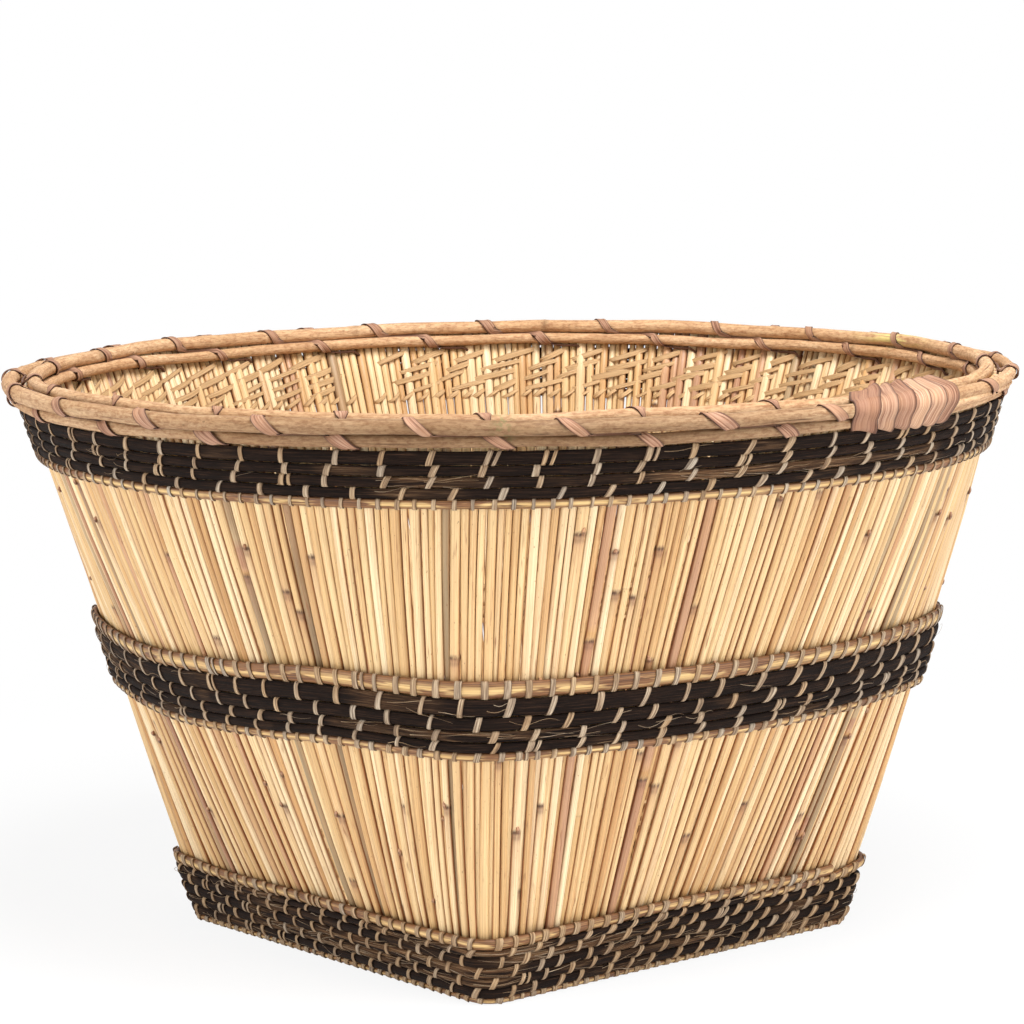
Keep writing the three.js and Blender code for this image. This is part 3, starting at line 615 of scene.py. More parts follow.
def set_back(z):
    """How far the back reeds lie behind the front ones."""
    shown = (girth_at(z) - (~is_back).sum() * REED_DIAMETER) / is_back.sum()
    apart = (REED_DIAMETER + np.clip(shown, 0, REED_DIAMETER)) / 2
    pressed = 1 - PRESSED_TOGETHER * np.clip(np.asarray(z, float) / PRESSED_HEIGHT, 0, 1)
    return pressed * np.sqrt(np.maximum(0, REED_DIAMETER**2 - apart**2))


def inner_face(z):
    """Offset of the wall's inner face from its outer one."""
    return -REED_DIAMETER - set_back(z)


def nearest_gap(turn, z):
    """Turn of the gap between two reeds that is nearest to a turn."""
    share = z / RIM_HEIGHT
    places = (1 - share) * base_turns + share * mouth_turns
    gaps = (places + np.roll(places, -1) + np.append(np.zeros(reed_count - 1), 1)) / 2
    gap = gaps[np.abs((gaps - turn + 0.5) % 1 - 0.5).argmin()]
    return gap + round(turn - gap)


def reed_tone():
    kind = rng.random()
    if kind < MAUVE_SHARE:
        return rng.uniform(0.83, 0.92)
    if kind < MAUVE_SHARE + GREY_SHARE:
        return rng.uniform(0.94, 1.0)
    return 0.8 * rng.beta(1.5, 1.9)


def add_bud(bundle, foot, out, beside):
    """Small bud that stands up from a reed's node."""
    share = np.linspace(0, 1, 7)
    height = rng.uniform(0.003, 0.006)
    aside = rng.uniform(-0.0012, 0.0012)
    path = foot + UP * (height * share - 0.0008)[:, None] + beside * (aside * share)[:, None]
    path = path + out * (0.0002 + 0.0006 * np.sin(math.pi * share))[:, None]
    radius = 0.0012 * np.sin(math.pi * (0.2 + 0.75 * share))
    bundle.loft(path, beside, out, oval(6) * radius[:, None, None], 0.9, 0.7 * (share < 0.5))


NODE_STATIONS = np.array([-16, -8, -5.5, -4.2, -3.2, -2.2, -1.2, -0.5, 0, 0.5, 1.2, 2.4, 6]) / 1000
SHEATH_STATIONS = np.array([-0.8, -0.1, 0.1, 0.8]) / 1000


def add_reed(bundle, reed):
    top = reed_top - rng.uniform(0, 0.0015)
    z = np.linspace(0.0004, top, REED_STATIONS)
    node = -1.0
    if rng.random() < NODE_CHANCE:
        node = rng.uniform(*NODE_HEIGHTS)
        z = np.append(z, node + NODE_STATIONS)
    sheath = 1.0
    if rng.random() < SHEATH_CHANCE:
        sheath = rng.uniform(*SHEATH_HEIGHTS)
        z = np.append(z, sheath + SHEATH_STATIONS)
    z = np.sort(z)
    share = z / RIM_HEIGHT
    turn = (1 - share) * base_turns[reed] + share * mouth_turns[reed]
    out = wall_outward(turn, z)
    beside = np.stack([-out[:, 1], out[:, 0], np.zeros(len(z))], -1)
    bow = np.sin(math.pi * share * rng.uniform(1, 2.5) + rng.uniform(0, FULL_TURN))
    off_node = (z - node) * 1000
    has_node = node > 0
    place = np.maximum(1, girth_at(z) / (reed_count * REED_DIAMETER))
    taper = 1 + rng.uniform(-0.07, 0.07) * (2 * share - 1)
    radius = REED_FILL * place * reed_diameters[reed] / 2 * taper
    swell = NODE_SWELL * bell(off_node, 1.6) + 0.03 * (off_node > 0)
    radius = radius * (1 + has_node * swell)
    radius = radius * (1 + 0.07 * (z > sheath)) * (THIN_SHARE if rng.random() < THIN_CHANCE else 1)
    depth = bow_at(z) - radius - is_back[reed] * set_back(z) + rng.uniform(-0.0008, 0.0003) + 0.0003 * bow
    path = np.column_stack([straight_point(turn, turn, z), z])
    path = path + out * depth[:, None] + beside * (rng.uniform(-0.0005, 0.0005) * bow)[:, None]
    ring = has_node * (bell(off_node, 1.5) + 0.45 * bell(off_node + 3.4, 1.6))
    ring = np.minimum(1, ring + 0.3 * bell((z - sheath) * 3000, 1))
    # Mauve-brown below a node, fading downward: partly the reed's own colour, partly painted shade under
    # the node.
    below = has_node * np.where(off_node < 0, np.exp(off_node / 12), 0)
    stain_wave = np.sin(FULL_TURN * share * rng.uniform(0.4, 1) + rng.uniform(0, FULL_TURN))
    stain = max(0, rng.normal(0, 0.3)) * np.clip(1.5 * stain_wave, 0, 1)
    collar = has_node * 0.3 * np.where(off_node > 0, np.exp(-off_node / 5), 0)
    tone = reed_tone() * np.where(z > sheath, 0.7, 1) * (1 - collar)
    profile = oval(REED_SIDES) * radius[:, None, None]
    bundle.loft(path, beside, out, profile, tone, ring, np.maximum(below, stain))
    if has_node and rng.random() < BUD_CHANCE:
        at = np.abs(off_node).argmin()
        foot = path[at] + out[at] * radius[at] + beside[at] * rng.uniform(-0.4, 0.4) * radius[at]
        add_bud(bundle, foot, out[at], beside[at])


for panel in range(PANEL_COUNT):
    bundle = Bundle()
    for reed in range(panel * REEDS_PER_PANEL, (panel + 1) * REEDS_PER_PANEL):
        add_reed(bundle, reed)
    bundle.piece(f"reeds_{panel + 1:02d}", reed_finish, "reeds", [f"reed_panel_{panel + 1:02d}"])

# Bands. Each row knows where its rod or cane runs, so that its stitches can follow it.

band_drift = smooth_noise(0.9, 0.12, 4)


def band_wave(turn, z):
    """Rise and fall of the bands round the wall: more at the base band's top than at the ground."""
    turn, z = np.broadcast_arrays(np.asarray(turn, float), z)
    base_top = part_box("base_band_cane_upper")[1].z
    wave = 0.0006 * band_drift(turn * mouth_girth) * np.clip(z / base_top, 0, 1)
    from_front = FULL_TURN * (turn - FRONT_CORNER)
    corners = np.cos(4 * from_front) * np.clip(np.cos(from_front), 0, 1)
    wave = wave - np.where(z < 1.5 * base_top, CORNER_DIP * corners * z / base_top, 0)
    in_middle = (z > RIM_HEIGHT / 3) & (z < 2 * RIM_HEIGHT / 3)
    for centre, length, rise in MIDDLE_WAVES:
        wave = wave + in_middle * rise * bump(turn, centre, length)
    return wave


class Row:
    """A rod or cane round the wall: its bottom, top and thickness along its turns."""

    def __init__(self, node, band, thickness, turns):
        low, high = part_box(node)
        self.node = node
        self.band = band
        self.turns = turns
        self.thickness = thickness
        self.bottom = np.full(len(turns), low.z)
        self.top = np.full(len(turns), high.z)
        self.bare = np.zeros(len(turns))

    def middle(self):
        return (self.bottom + self.top) / 2

    def run(self):
        return self.turns * girth_at(self.middle().mean())

    def path(self):
        height = self.middle() + band_wave(self.turns, self.middle())
        return wall_at(self.turns, BAND_GAP + self.thickness / 2, height)

    def near(self, turn):
        """Number of the station nearest to a turn."""
        return int(np.abs(self.turns - turn).argmin())

    def tube(self, profile, mark):
        """Bundle with the rod or cane itself, which leans with the wall."""
        out = wall_outward(self.turns, self.middle())
        bundle = Bundle()
        bundle.loft(self.path(), out, wall_upward(self.turns, self.middle()), profile, 0.0, mark)
        return bundle


seam_gap = CLEARANCE / 2 / girth_at(0.1)
full_round = np.linspace(BAND_SEAM + seam_gap, BAND_SEAM + 1 - seam_gap, RING_STATIONS)
rows = []


def worn_share(node, turn):
    """How much of a rod's dark skin is worn off at turns."""
    worn = np.zeros(len(turn))
    for name, start, end, amount in FRAYED_STRETCHES:
        if name == node:
            inside = np.minimum(turn % 1 - start, end - turn % 1)
            worn = np.maximum(worn, amount * np.clip(inside / 0.012 + 0.5, 0, 1))
    return worn


def add_rod(row):
    """Bundle of dark fibres, lumpy along its length and bare of its dark skin in places."""
    run = row.run()
    angle = np.arange(ROD_SIDES) / ROD_SIDES * FULL_TURN
    lumps = smooth_noise(0.09, 0.011)
    swirl = smooth_noise(0.05, 0.008)
    size = 0.99 + 0.035 * lumps(run)[:, None] + 0.045 * swirl(run[:, None] + 0.012 * np.sin(angle + 2.0))
    half = np.stack([np.full(len(run), row.thickness), row.top - row.bottom], -1) / 2
    profile = oval(ROD_SIDES, ROD_SQUARENESS) * half[:, None] * size[..., None]
    worn = worn_share(row.node, row.turns)
    worn = worn + (BASE_BAND_WEAR if row.band == "base" else 0)
    row.bare = np.clip(0.9 * smooth_noise(0.5, 0.05)(run) - 0.5 + 1.2 * worn, 0, 1)
    row.tube(profile, row.bare).piece(row.node + "_fibres", fibre_finish, "dark_rods", [row.node])
    rows.append(row)


CANE_SECTION = np.array([
    [-0.5, -0.5], [-0.1, -0.5], [0.22, -0.42], [0.36, -0.3], [0.46, -0.15], [0.5, 0],
    [0.46, 0.15], [0.36, 0.3], [0.22, 0.42], [-0.1, 0.5], [-0.5, 0.5]])
# Share of the pale stripe at each point of the section: along the middle of the outer face.
cane_stripe = bell(CANE_SECTION[:, 1] + 0.03, 0.21) * (CANE_SECTION[:, 0] > 0)


def add_cane(row):
    """Split cane: flat against the reeds, with a pale stripe along the middle of its outer face."""
    run = row.run()
    size = np.stack([np.full(len(run), row.thickness), row.top - row.bottom], -1)
    size = size * (1 + 0.04 * smooth_noise(0.2, 0.02)(run)[:, None])
    bundle = row.tube(CANE_SECTION * size[:, None], np.tile(cane_stripe, (len(run), 1)))
    bundle.piece(row.node + "_bark", cane_finish, "canes", [row.node])
    rows.append(row)


for band in ("top", "middle", "base"):
    for number in (1, 2, 3, 4):
        row = Row(f"{band}_band_rod_{number}", band, ROD_THICKNESS[band], full_round)
        if band == "top" and number == 4:
            row.top = row.top + TOP_ROD_FILL
        add_rod(row)
for node, band in (("top_band_cane_lower", "top"), ("middle_band_cane_lower", "middle"),
                   ("middle_band_cane_upper", "middle"), ("base_band_cane_lower", "base")):
    add_cane(Row(node, band, CANE_THICKNESS, full_round))

# The base band's upper cane runs round a little more than once. Its lower end takes the short rod's row.
short_low, short_high = (corner.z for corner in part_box("base_band_rod_short"))
upper_low = short_high + CLEARANCE
lap_end = LAP_START + LAP_LENGTH / girth_at(upper_low)
ramp_end = lap_end + LAP_RAMP / girth_at(upper_low)
short_turns = np.linspace(ramp_end, LAP_START + 1, RING_STATIONS)
add_rod(Row("base_band_rod_short", "base", ROD_THICKNESS["base"], short_turns))
lapped_turns = np.linspace(LAP_START, lap_end + 1, RING_STATIONS)
lapped = Row("base_band_cane_upper", "base", CANE_THICKNESS, lapped_turns)
climbed = np.clip((lapped.turns - lap_end) / (ramp_end - lap_end), 0, 1)
lapped.bottom = short_low + (upper_low - short_low) * climbed
lapped.top = short_high + (lapped.top - short_high) * climbed
add_cane(lapped)

# Stitches: a strip winds round each rod and cane, outside over it and inside from one gap between reeds to
# another.


def add_stitch(bundle, row, turn, width, lean, tone):
    """Outside part of one stitch, which leans to the right as it goes up over its rod or cane."""
    near = row.near(turn)
    middle = row.middle()[near]
    half_height = (row.top - row.bottom)[near] / 2 * 1.03 + STITCH_THICKNESS / 2
    half_depth = row.thickness / 2 * 1.05 + STITCH_THICKNESS / 2
    angle = np.radians(np.linspace(-STITCH_ARC, STITCH_ARC, 13))
    rise = raised(np.sin(angle), ROD_SQUARENESS)
    turns = turn + lean * rng.uniform(0.4, 1.5) / girth_at(middle) * rise / 2
    offset = BAND_GAP + row.thickness / 2 + half_depth * raised(np.cos(angle), ROD_SQUARENESS)
    height = middle + half_height * rise + band_wave(turns, middle)
    path = wall_at(turns, offset, np.maximum(height, STITCH_THICKNESS))
    out = wall_outward(turns, np.full(len(turns), middle))
    away = out * np.cos(angle)[:, None] + UP * np.sin(angle)[:, None]
    taper = width * np.linspace(rng.uniform(0.8, 1), rng.uniform(0.8, 1), len(angle))
    add_strip(bundle, path, away, taper, STITCH_THICKNESS, tone)


def add_float(bundle, start, start_z, end, end_z, width, tone):
    """Inside part of a stitch, from the gap over one stitch to the gap under the next."""
    share = np.linspace(0, 1, 9)
    turns = start + (end - start) * share
    height = start_z + (end_z - start_z) * share
    lift = np.sqrt(np.clip(np.sin(math.pi * share), 0, 1))
    offset = inner_face(height) + 0.0022 - (0.0037 + rng.uniform(0, 0.0006)) * lift
    path = wall_at(turns, offset, height + rng.uniform(-0.0006, 0.001) * np.sin(math.pi * share))
    away = -wall_outward(turns, height)
    add_strip(bundle, path, away, width * (0.55 + 0.45 * lift), STITCH_THICKNESS, tone, 0.6)


def add_stitches(bundle, row, pitch, width, lean, float_width, doubles):
    girth = girth_at(row.middle().mean())
    count = int((row.turns[-1] - row.turns[0]) * girth / pitch)
    loose = 0.12 if lean == ROD_STITCH_LEAN else 0.07
    steps = np.arange(count) + rng.uniform(0.2, 0.8) + rng.uniform(-loose, loose, count)
    places = np.clip(row.turns[0] + steps * pitch / girth, row.turns[0], row.turns[-1])
    tones = np.clip(rng.normal(0.05 if row.band == "base" else 0.4, 0.3, count), 0, 1)
    for number, turn in enumerate(places):
        near = row.near(turn)
        add_stitch(bundle, row, turn, width * rng.uniform(0.75, 1.2), lean, tones[number])
        if rng.random() < doubles:
            add_stitch(bundle, row, turn + 1.2 * width / girth, width * 0.6, lean, tones[number])
        if number + 1 < count and row.bottom[near] > FLOAT_LOWEST:
            start = nearest_gap(turn, row.top[near])
            end = nearest_gap(places[number + 1], row.bottom[near])
            heights = row.top[near] + 0.0006, row.bottom[near] - 0.0006
            shown = float_width * rng.uniform(0.7, 1.2)
            add_float(bundle, start, heights[0], end, heights[1], shown, 0.3 * tones[number])


for band in ("top", "middle", "base"):
    bundle = Bundle()
    for row in rows:
        if row.band != band:
            continue
        if row.node in CANE_STITCH_PITCH:
            pitch = CANE_STITCH_PITCH[row.node]
            width = CANE_STITCH_WIDTH[band]
            add_stitches(bundle, row, pitch, width, CANE_STITCH_LEAN, 0.7 * FLOAT_WIDTH, CANE_DOUBLE_CHANCE)
        else:
            pitch = ROD_STITCH_PITCH[band]
            width = ROD_STITCH_WIDTH
            add_stitches(bundle, row, pitch, width, ROD_STITCH_LEAN, FLOAT_WIDTH, ROD_DOUBLE_CHANCE)
    bundle.piece(f"{band}_band_stitches", stitch_finish, "bark_strip")

# Loose fibres on the rods, most of them where the dark skin is worn off


def add_fibre(bundle, row, turn, length, lift):
    """Thin fibre that leaves its rod and comes back to it."""
    near = row.near(turn)
    share = np.linspace(0, 1, 9)
    turns = turn + length * share / girth_at(row.middle()[near])
    angle = rng.uniform(-0.9, 0.9)
    drift = rng.normal(0, 0.12) * length * share + 0.5 * lift * rng.normal() * np.sin(FULL_TURN * share)
    height = row.middle()[near] + (row.top - row.bottom)[near] / 2 * math.sin(angle) + drift
    surface = BAND_GAP + row.thickness / 2 * (1.02 + math.cos(angle))
    height = np.maximum(height + band_wave(turns, height), FIBRE_CLEARANCE)
    path = wall_at(turns, surface + lift * np.sin(math.pi * share), height)
    radius = rng.uniform(0.0001, 0.00022) * (1 - 0.6 * share)
    out = wall_outward(turns, height)
    tone = rng.uniform(0, 0.6)
    bundle.loft(path, out, UP, oval(4) * radius[:, None, None], tone)


bundle = Bundle()
for row in rows:
    if row.node in CANE_STITCH_PITCH:
        continue
    for turn in rng.uniform(row.turns[0], row.turns[-1], FIBRES_TRIED):
        if rng.random() < 0.9 * row.bare[row.near(turn)] ** 2:
            add_fibre(bundle, row, turn, rng.uniform(0.01, 0.03), rng.uniform(0.0001, 0.0008))
        elif rng.random() < 0.05:
            add_fibre(bundle, row, turn, rng.uniform(0.008, 0.03), rng.uniform(0.0005, 0.003))
bundle.piece("loose_fibres", stitch_finish, "dark_rods")

# Hoops of the rim


def between_stations(place, stations, points):
    """Points at places along stations."""
    return np.stack([np.interp(place, stations, values) for values in points.T], -1)


class Hoop:
    """A bark-covered rod round the rim, with a swell to the left and a rise over its solid.

    Its thickness and height change a little on the way round.
    """

    def __init__(self, node, outside, swell, rise):
        low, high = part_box(node)
        self.node = node
        self.turns = np.linspace(SPLICE_TURN, SPLICE_TURN + 1, HOOP_STATIONS)
        run = self.turns * mouth_girth
        solid_radius = (high.z - low.z) / 2
        thicker_left = np.cos((self.turns - LEFT_TURN) * FULL_TURN)
        self.radius = solid_radius * (1 + swell * thicker_left) * (1 + 0.04 * smooth_noise(0.3, 0.02)(run))
        lean = math.hypot(1, (MOUTH_DIAMETER - BASE_SIDE) / 2 / RIM_HEIGHT)
        self.height = (low.z + high.z) / 2 + rise + 0.0009 * smooth_noise(0.35, 0.1, 3)(run)
        seat = (self.radius + CLEARANCE) * lean
        offset = seat if outside else -REED_DIAMETER - seat
        self.centre = wall_at(self.turns, offset, self.height)
        self.out = wall_outward(self.turns, self.height)

    def at(self, turn):
        """Centre, outward direction and radius at turns."""
        turn = (np.asarray(turn, float) - SPLICE_TURN) % 1 + SPLICE_TURN
        centre = between_stations(turn, self.turns, self.centre)
        out = between_stations(turn, self.turns, self.out)
        return centre, unit(out), np.interp(turn, self.turns, self.radius)


outer_upper = Hoop("rim_hoop_outer_upper", outside=True, swell=0.09, rise=0.0)
outer_lower = Hoop("rim_hoop_outer_lower", outside=True, swell=0.08, rise=0.0009)
inner_upper = Hoop("rim_hoop_inner_upper", outside=False, swell=0.0, rise=0.0022)
inner_lower = Hoop("rim_hoop_inner_lower", outside=False, swell=0.0, rise=0.0026)
hoops = (outer_upper, outer_lower, inner_upper, inner_lower)


def between(upper, lower, turns):
    """Where two hoops touch at turns, the outward direction there, and both radii."""
    first, out, first_radius = upper.at(turns)
    second, _, second_radius = lower.at(turns)
    weighed = first * second_radius[:, None] + second * first_radius[:, None]
    return weighed / (first_radius + second_radius)[:, None], out, first_radius, second_radius


def add_tail(bundle):
    """Thinned end of a hoop that lies in the groove of the outer hoops, beside the wrap."""
    share = np.linspace(0, 1, 40)
    turns = SPLICE_TURN + (SPLICE_LENGTH / 2 - TAIL_TUCK + TAIL_LENGTH * share) / mouth_girth
    middle, out, upper_radius, _ = between(outer_upper, outer_lower, turns)
    radius = TAIL_RADIUS * (1 - 0.55 * share)
    path = middle + out * (0.55 * upper_radius + 0.5 * radius)[:, None]
    bundle.loft(path, out, UP, oval(10) * radius[:, None, None])


for hoop in hoops:
    angle = np.arange(HOOP_SIDES) / HOOP_SIDES * FULL_TURN
    run = hoop.turns * mouth_girth
    size = 1 + 0.025 * smooth_noise(0.06, 0.01)(run[:, None] + 0.03 * np.sin(angle))
    knots = np.zeros(len(run))
    for knot in rng.uniform(run[0], run[-1], HOOP_KNOTS):
        knots += bell(run - knot, KNOT_LENGTH)
    peeled = np.zeros(len(run))
    if hoop is inner_upper:
        knots += bell(run - PEELED_TURN * mouth_girth, PEELED_KNOT_LENGTH)
        peeled = bump(hoop.turns, PEELED_TURN, PEELED_LENGTH)
    one_side = np.clip(np.cos(angle - (0.6 if hoop in (outer_upper, outer_lower) else 2.6)), 0, 1)
    lumps = one_side * knots[:, None]
    profile = oval(HOOP_SIDES) * (hoop.radius[:, None] * (size + 0.13 * lumps))[..., None]
    patches = np.clip(smooth_noise(0.6, 0.05)(run) - 0.6, 0, 1)
    lichen = 0.7 * bump(hoop.turns, LICHEN_TURN, LICHEN_LENGTH) + 0.2 * patches
    # Painted shade on the front of the hoops, the side nearest to the camera.
    front_shade = FRONT_PAINTED_SHADE[hoop.node] * bump(hoop.turns, FRONT_TURN, FRONT_SHADE_LENGTH)
    bundle = Bundle()
    knots_and_front_shade = np.maximum(0.9 * lumps**2, front_shade[:, None])
    bundle.loft(hoop.centre, hoop.out, UP, profile, one_side * peeled[:, None], knots_and_front_shade, lichen)
    if hoop is outer_upper:
        add_tail(bundle)
    bundle.piece(hoop.node + "_bark", bark_finish, "hoops", [hoop.node])

# Lashing: one bark strip over the upper outer hoop, along the groove, over the lower outer hoop, through
# the wall, up inside over the lower and then the upper inner hoop, and along the reed ends to the next
# turn.

strip_lift = CLEARANCE + STRIP_THICKNESS / 2
lashing_start = SPLICE_TURN + (SPLICE_LENGTH / 2 + LASHING_FROM_SPLICE) / mouth_girth
lashing_end = SPLICE_TURN + 1 - (SPLICE_LENGTH / 2 + LASHING_TO_SPLICE) / mouth_girth
last_crossing = SPLICE_TURN + 1 - (SPLICE_LENGTH / 2 + LAST_CROSSING_GAP) / mouth_girth
lashing_pitch = (lashing_end - lashing_start) / LASHING_TURNS
slant_turn = LASHING_SLANT / mouth_girth


def on_hoop(hoop, turns, degrees, width):
    """Places of a strip on a hoop, at angles up from straight out of the basket."""
    centre, out, radius = hoop.at(turns)
    angle = np.radians(degrees)[:, None]
    away = out * np.cos(angle) + UP * np.sin(angle)
    count = len(turns)
    path = centre + away * (radius + strip_lift)[:, None]
    return path, away, np.full(count, width), np.full(count, STRIP_THICKNESS), np.zeros(count)


def crossing(hoop, turn, arc, width):
    """Slanted crossing of a hoop, from one angle of an arc to the other."""
    degrees = np.linspace(*arc, CROSSING_STATIONS)
    height = np.sin(np.radians(degrees))
    share = np.where(np.abs(degrees) > 90, height - 2 * np.sign(height), -height)
    if hoop in (inner_upper, inner_lower):
        share = 0.7 * np.linspace(-1, 1, CROSSING_STATIONS)
    turns = turn + slant_turn * rng.uniform(0.85, 1.15) * share / 2
    return on_hoop(hoop, turns, degrees, width)


def gathered(points, away):
    count = len(points)
    size = np.full(count, LASHING_GATHERED)
    # The mark of 1 is painted shade: the gathered strip turns dark brown in the grooves, through the wall,
    # under the lower inner hoop and along the reed ends.
    return points, np.broadcast_to(away, points.shape), size, size, np.ones(count)


def in_groove(upper, lower, start, end, side):
    """Gathered strip in the groove between two hoops, outside (side 1) or inside (side -1) the wall."""
    turns = np.linspace(start, end, 5)
    middle, out, _, lower_radius = between(upper, lower, turns)
    depth = 0.4 if side > 0 else 0.15
    return gathered(middle + side * out * (depth * lower_radius)[:, None], side * out)


def on_reed_ends(start, end):
    turns = np.linspace(start, end, 4)
    points = wall_at(turns, np.full(4, -REED_DIAMETER / 2), np.full(4, reed_top))
    return gathered(points + UP * 0.001, UP)


def lashing_turn(start):
    width = LASHING_WIDTH * rng.uniform(0.85, 1.3)
    cross_upper = start + slant_turn * rng.uniform(0.8, 1.2)
    cross_lower = cross_upper + lashing_pitch / 2
    pass_turn = cross_lower + slant_turn / 2
    inside_lower = pass_turn + lashing_pitch / 3
    inside_upper = inside_lower + lashing_pitch / 2
    offsets = np.array([0.0006, -REED_DIAMETER - 0.0006])
    under = wall_at(np.full(2, pass_turn), offsets, np.full(2, STRIP_PASS_HEIGHT))
    below_turns = np.linspace(pass_turn + 0.3 * slant_turn, inside_lower - slant_turn, 4)
    centre, _, radius = inner_lower.at(below_turns)
    below = centre - UP * (radius + LASHING_GATHERED)[:, None]
    return [
        crossing(outer_upper, cross_upper, OVER_OUTER_UPPER, width),
        in_groove(outer_upper, outer_lower, cross_upper + slant_turn, cross_lower - slant_turn, 1),
        crossing(outer_lower, cross_lower, OVER_OUTER_LOWER, width),
        gathered(under, -UP),
        gathered(below, -UP),
        crossing(inner_lower, inside_lower, ROUND_INNER_LOWER, INSIDE_WIDTH_SHARE * width),
        in_groove(inner_upper, inner_lower, inside_lower + slant_turn, inside_upper - slant_turn, -1),
        crossing(inner_upper, inside_upper, ROUND_INNER_UPPER, INSIDE_WIDTH_SHARE * width),
        on_reed_ends(inside_upper + slant_turn / 2, start + lashing_pitch + slant_turn / 2),
    ]


places = []
for turn in range(LASHING_TURNS):
    places += lashing_turn(lashing_start + turn * lashing_pitch)
places.append(on_reed_ends(lashing_end, last_crossing - slant_turn / 2))
places.append(crossing(outer_upper, last_crossing, OVER_OUTER_UPPER, LASHING_WIDTH))
groove_end = last_crossing + slant_turn
places.append(in_groove(outer_upper, outer_lower, groove_end, groove_end + slant_turn, 1))
path, away, width, thickness, gathered_shade = (np.concatenate(field) for field in zip(*places))
bundle = Bundle()
add_strip(bundle, path, away, width, thickness, 0.5, gathered_shade)
bundle.piece("rim_lashing_strip", strip_finish, "bark_strip", ["rim_lashing"])

# Splice wrap: a bark strip winds round all four hoops over their ends, each turn lapping the one after it.


def round_all_hoops(turns, angles):
    """Places of a strip round all hoops at once, and the directions away from them."""
    found = [hoop.at(turns) for hoop in hoops]
    away = found[0][1] * np.cos(angles)[:, None] + UP * np.sin(angles)[:, None]
    reach = np.stack([(centre * away).sum(-1) + radius for centre, _, radius in found])
    best = reach.argmax(0)
    every = np.arange(len(turns))
    centres = np.stack([centre for centre, _, _ in found])[best, every]
    radii = np.stack([radius for _, _, radius in found])[best, every]
    return centres + away * (radii + strip_lift)[:, None], away


LOOP_ANGLES = np.linspace(0, FULL_TURN, 361)


def on_splice_loop(turn, share):
    """Place at a share of the way round all hoops, and the direction away from them."""
    loop, away = round_all_hoops(np.full(len(LOOP_ANGLES), turn), LOOP_ANGLES)
    run = np.concatenate([[0], np.cumsum(np.linalg.norm(np.diff(loop, axis=0), axis=1))])
    place = share * run[-1]
    return between_stations(place, run, loop), between_stations(place, run, away)


steps = np.arange(SPLICE_TURNS * SPLICE_STEPS + 1) / SPLICE_STEPS
progress = steps / SPLICE_TURNS
yaw = SPLICE_YAW * (1 - progress) * np.cos(FULL_TURN * steps) / 2
turns = SPLICE_TURN + ((SPLICE_LENGTH - SPLICE_STRIP_WIDTH) * (progress - 0.5) + yaw) / mouth_girth
found = [on_splice_loop(turn, (step + 0.5) % 1) for turn, step in zip(turns, steps)]
path, away = (np.array(part) for part in zip(*found))
around = np.stack([-np.sin(FULL_TURN * turns), np.cos(FULL_TURN * turns), 0 * turns], -1)
tilted = unit(unit(away) - SPLICE_TILT * around)
width = SPLICE_STRIP_WIDTH * (1 + 0.07 * smooth_noise(0.3, 0.08, 4)(progress))
bundle = Bundle()
shades = rng.uniform(0.1, 0.7, SPLICE_TURNS + 1)[np.floor(steps).astype(int)]
add_strip(bundle, path + away * SPLICE_LIFT, tilted, width, STRIP_THICKNESS, shades)
bundle.piece("rim_splice_wrap_strip", strip_finish, "bark_strip", ["rim_splice_wrap"])

# Floor: reeds side by side on three split battens

mat_low, mat_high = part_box("floor_mat")
bundle = Bundle()
pitch = (mat_high.y - mat_low.y + 2 * FLOOR_TUCK) / FLOOR_REED_COUNT
for number in range(FLOOR_REED_COUNT):
    y = mat_low.y - FLOOR_TUCK + (number + 0.5) * pitch
    radius = pitch / 2 * rng.uniform(0.92, 1.02)
    x = np.linspace(mat_low.x - FLOOR_TUCK, mat_high.x + FLOOR_TUCK, REED_STATIONS)
    path = np.column_stack([x, y + 0.0003 * np.sin(9 * x + number), np.full(len(x), mat_low.z + pitch / 2)])
    bundle.loft(path, ALONG_Y, UP, oval(REED_SIDES) * radius, reed_tone())
bundle.piece("floor_reeds", reed_finish, "floor_reeds", ["floor_mat"])

for number in (1, 2, 3):
    low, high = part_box(f"floor_batten_{number}")
    y = np.linspace(low.y + BATTEN_END_GAP, high.y - BATTEN_END_GAP, 24)
    middle = (low + high) / 2
    path = np.column_stack([np.full(len(y), middle.x), y, np.full(len(y), middle.z)])
    width = (high.x - low.x) * (1 + 0.05 * smooth_noise(0.2, 0.05)(y))
    size = np.stack([np.full(len(y), high.z - low.z), width], -1)
    bundle = Bundle()
    bundle.loft(path, UP, ALONG_X, CANE_SECTION * size[:, None], 0.0, np.tile(cane_stripe, (len(y), 1)))
    bundle.piece(f"floor_batten_{number}_split", cane_finish, "canes", [f"floor_batten_{number}"])

# Stage: a white floor that keeps a soft shadow, a white world, and large soft lamps


def white_for_camera(nodes, links):
    """Socket that is 1 where the camera looks straight at a surface or sees it in gloss or glass."""
    path = nodes.new("ShaderNodeLightPath")
    seen = path.outputs["Is Camera Ray"]
    for name in ("Is Glossy Ray", "Is Transmission Ray"):
        either = nodes.new("ShaderNodeMath")
        either.operation = "MAXIMUM"
        links.new(seen, either.inputs[0])
        links.new(path.outputs[name], either.inputs[1])
        seen = either.outputs["Value"]
    return seen


def glow_by_distance(paint):
    """Socket with the floor's own share of white, which grows with the distance from the basket."""
    place = paint.nodes.new("ShaderNodeNewGeometry")
    distance = paint.nodes.new("ShaderNodeVectorMath")
    distance.operation = "LENGTH"
    paint.links.new(place.outputs["Position"], distance.inputs[0])
    return paint.spread(distance.outputs["Value"], GLOW_NEAR, GLOW_FAR, FLOOR_GLOW, 1.0)


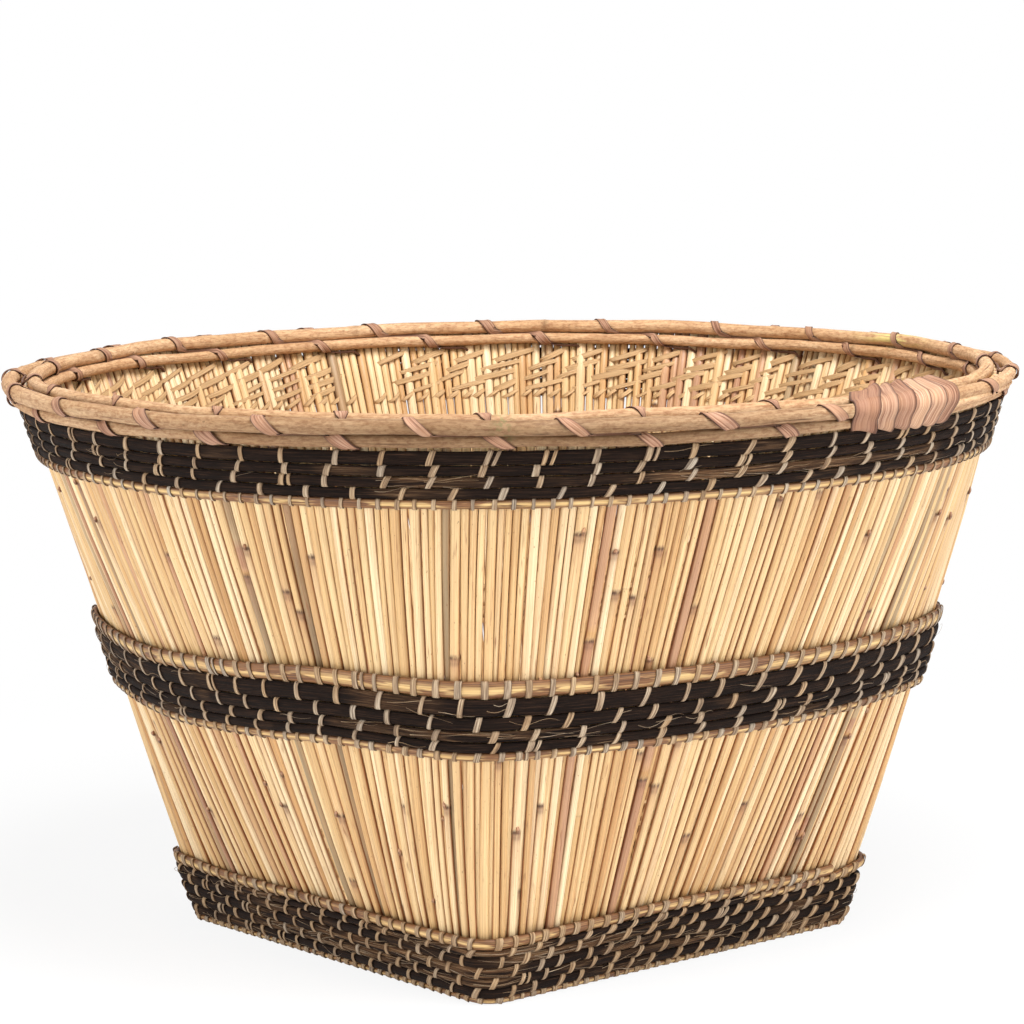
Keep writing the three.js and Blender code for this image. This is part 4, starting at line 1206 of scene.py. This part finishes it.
def blend_surface(nodes, links, share, first, second, output):
    """Leads two shaders to an output, with a share of the second."""
    blend = nodes.new("ShaderNodeMixShader")
    links.new(share, blend.inputs["Fac"])
    links.new(first.outputs[0], blend.inputs[1])
    links.new(second.outputs[0], blend.inputs[2])
    links.new(blend.outputs["Shader"], output.inputs["Surface"])


floor_mesh = bpy.data.meshes.new("studio_floor")
half = FLOOR_SIZE / 2
corners = [(-half, -half, 0), (half, -half, 0), (half, half, 0), (-half, half, 0)]
floor_mesh.from_pydata(corners, [], [(0, 1, 2, 3)])
floor = bpy.data.objects.new("studio_floor", floor_mesh)
bpy.context.scene.collection.objects.link(floor)
floor.location.z = -FLOOR_DROP
paint = Finish("studio_floor")
nodes, links = paint.nodes, paint.links
paint.surface.inputs["Base Color"].default_value = grey(0.9)
paint.surface.inputs["Roughness"].default_value = 0.9
paint.surface.inputs["Specular IOR Level"].default_value = 0.0
glow = nodes.new("ShaderNodeEmission")
glow.inputs["Color"].default_value = grey(1.0)
share = paint.times(white_for_camera(nodes, links), glow_by_distance(paint))
blend_surface(nodes, links, share, paint.surface, glow, nodes["Material Output"])
floor_mesh.materials.append(paint.material)

world = bpy.data.worlds.new("studio")
bpy.context.scene.world = world
world.use_nodes = True
nodes, links = world.node_tree.nodes, world.node_tree.links
ambient = nodes["Background"]
ambient.inputs["Color"].default_value = grey(1.0)
ambient.inputs["Strength"].default_value = AMBIENT
backdrop = nodes.new("ShaderNodeBackground")
backdrop.inputs["Color"].default_value = grey(1.0)
backdrop.inputs["Strength"].default_value = 1.0
blend_surface(nodes, links, white_for_camera(nodes, links), ambient, backdrop, nodes["World Output"])


def add_softbox(name, azimuth, distance, height, size, power):
    """Square lamp that faces the basket."""
    light = bpy.data.lights.new(name, "AREA")
    light.size = size
    light.energy = power
    lamp = bpy.data.objects.new(name, light)
    bpy.context.scene.collection.objects.link(lamp)
    angle = CAMERA_AZIMUTH + math.radians(azimuth)
    lamp.location = (distance * math.cos(angle), distance * math.sin(angle), height)
    aim = Vector((0, 0, RIM_HEIGHT / 2)) - lamp.location
    lamp.rotation_mode = "QUATERNION"
    lamp.rotation_quaternion = aim.to_track_quat("-Z", "Y")


for name, lamp_values in SOFTBOXES.items():
    add_softbox(name, *lamp_values)

# Camera

camera = bpy.data.objects.new("camera", bpy.data.cameras.new("camera"))
bpy.context.scene.collection.objects.link(camera)
camera.data.lens = CAMERA_LENS
camera.data.sensor_width = SENSOR_WIDTH
ahead = Vector((math.cos(CAMERA_AZIMUTH), math.sin(CAMERA_AZIMUTH), 0))
toward = -ahead - Vector((0, 0, math.tan(CAMERA_PITCH)))
facing = toward.to_track_quat("-Z", "Y").to_matrix().to_4x4()
eye = ahead * CAMERA_DISTANCE + Vector((0, 0, CAMERA_HEIGHT))
camera.matrix_world = Matrix.Translation(eye) @ facing @ Matrix.Rotation(CAMERA_ROLL, 4, "Z")
bpy.context.scene.camera = camera
bpy.context.scene.view_settings.view_transform = "Standard"
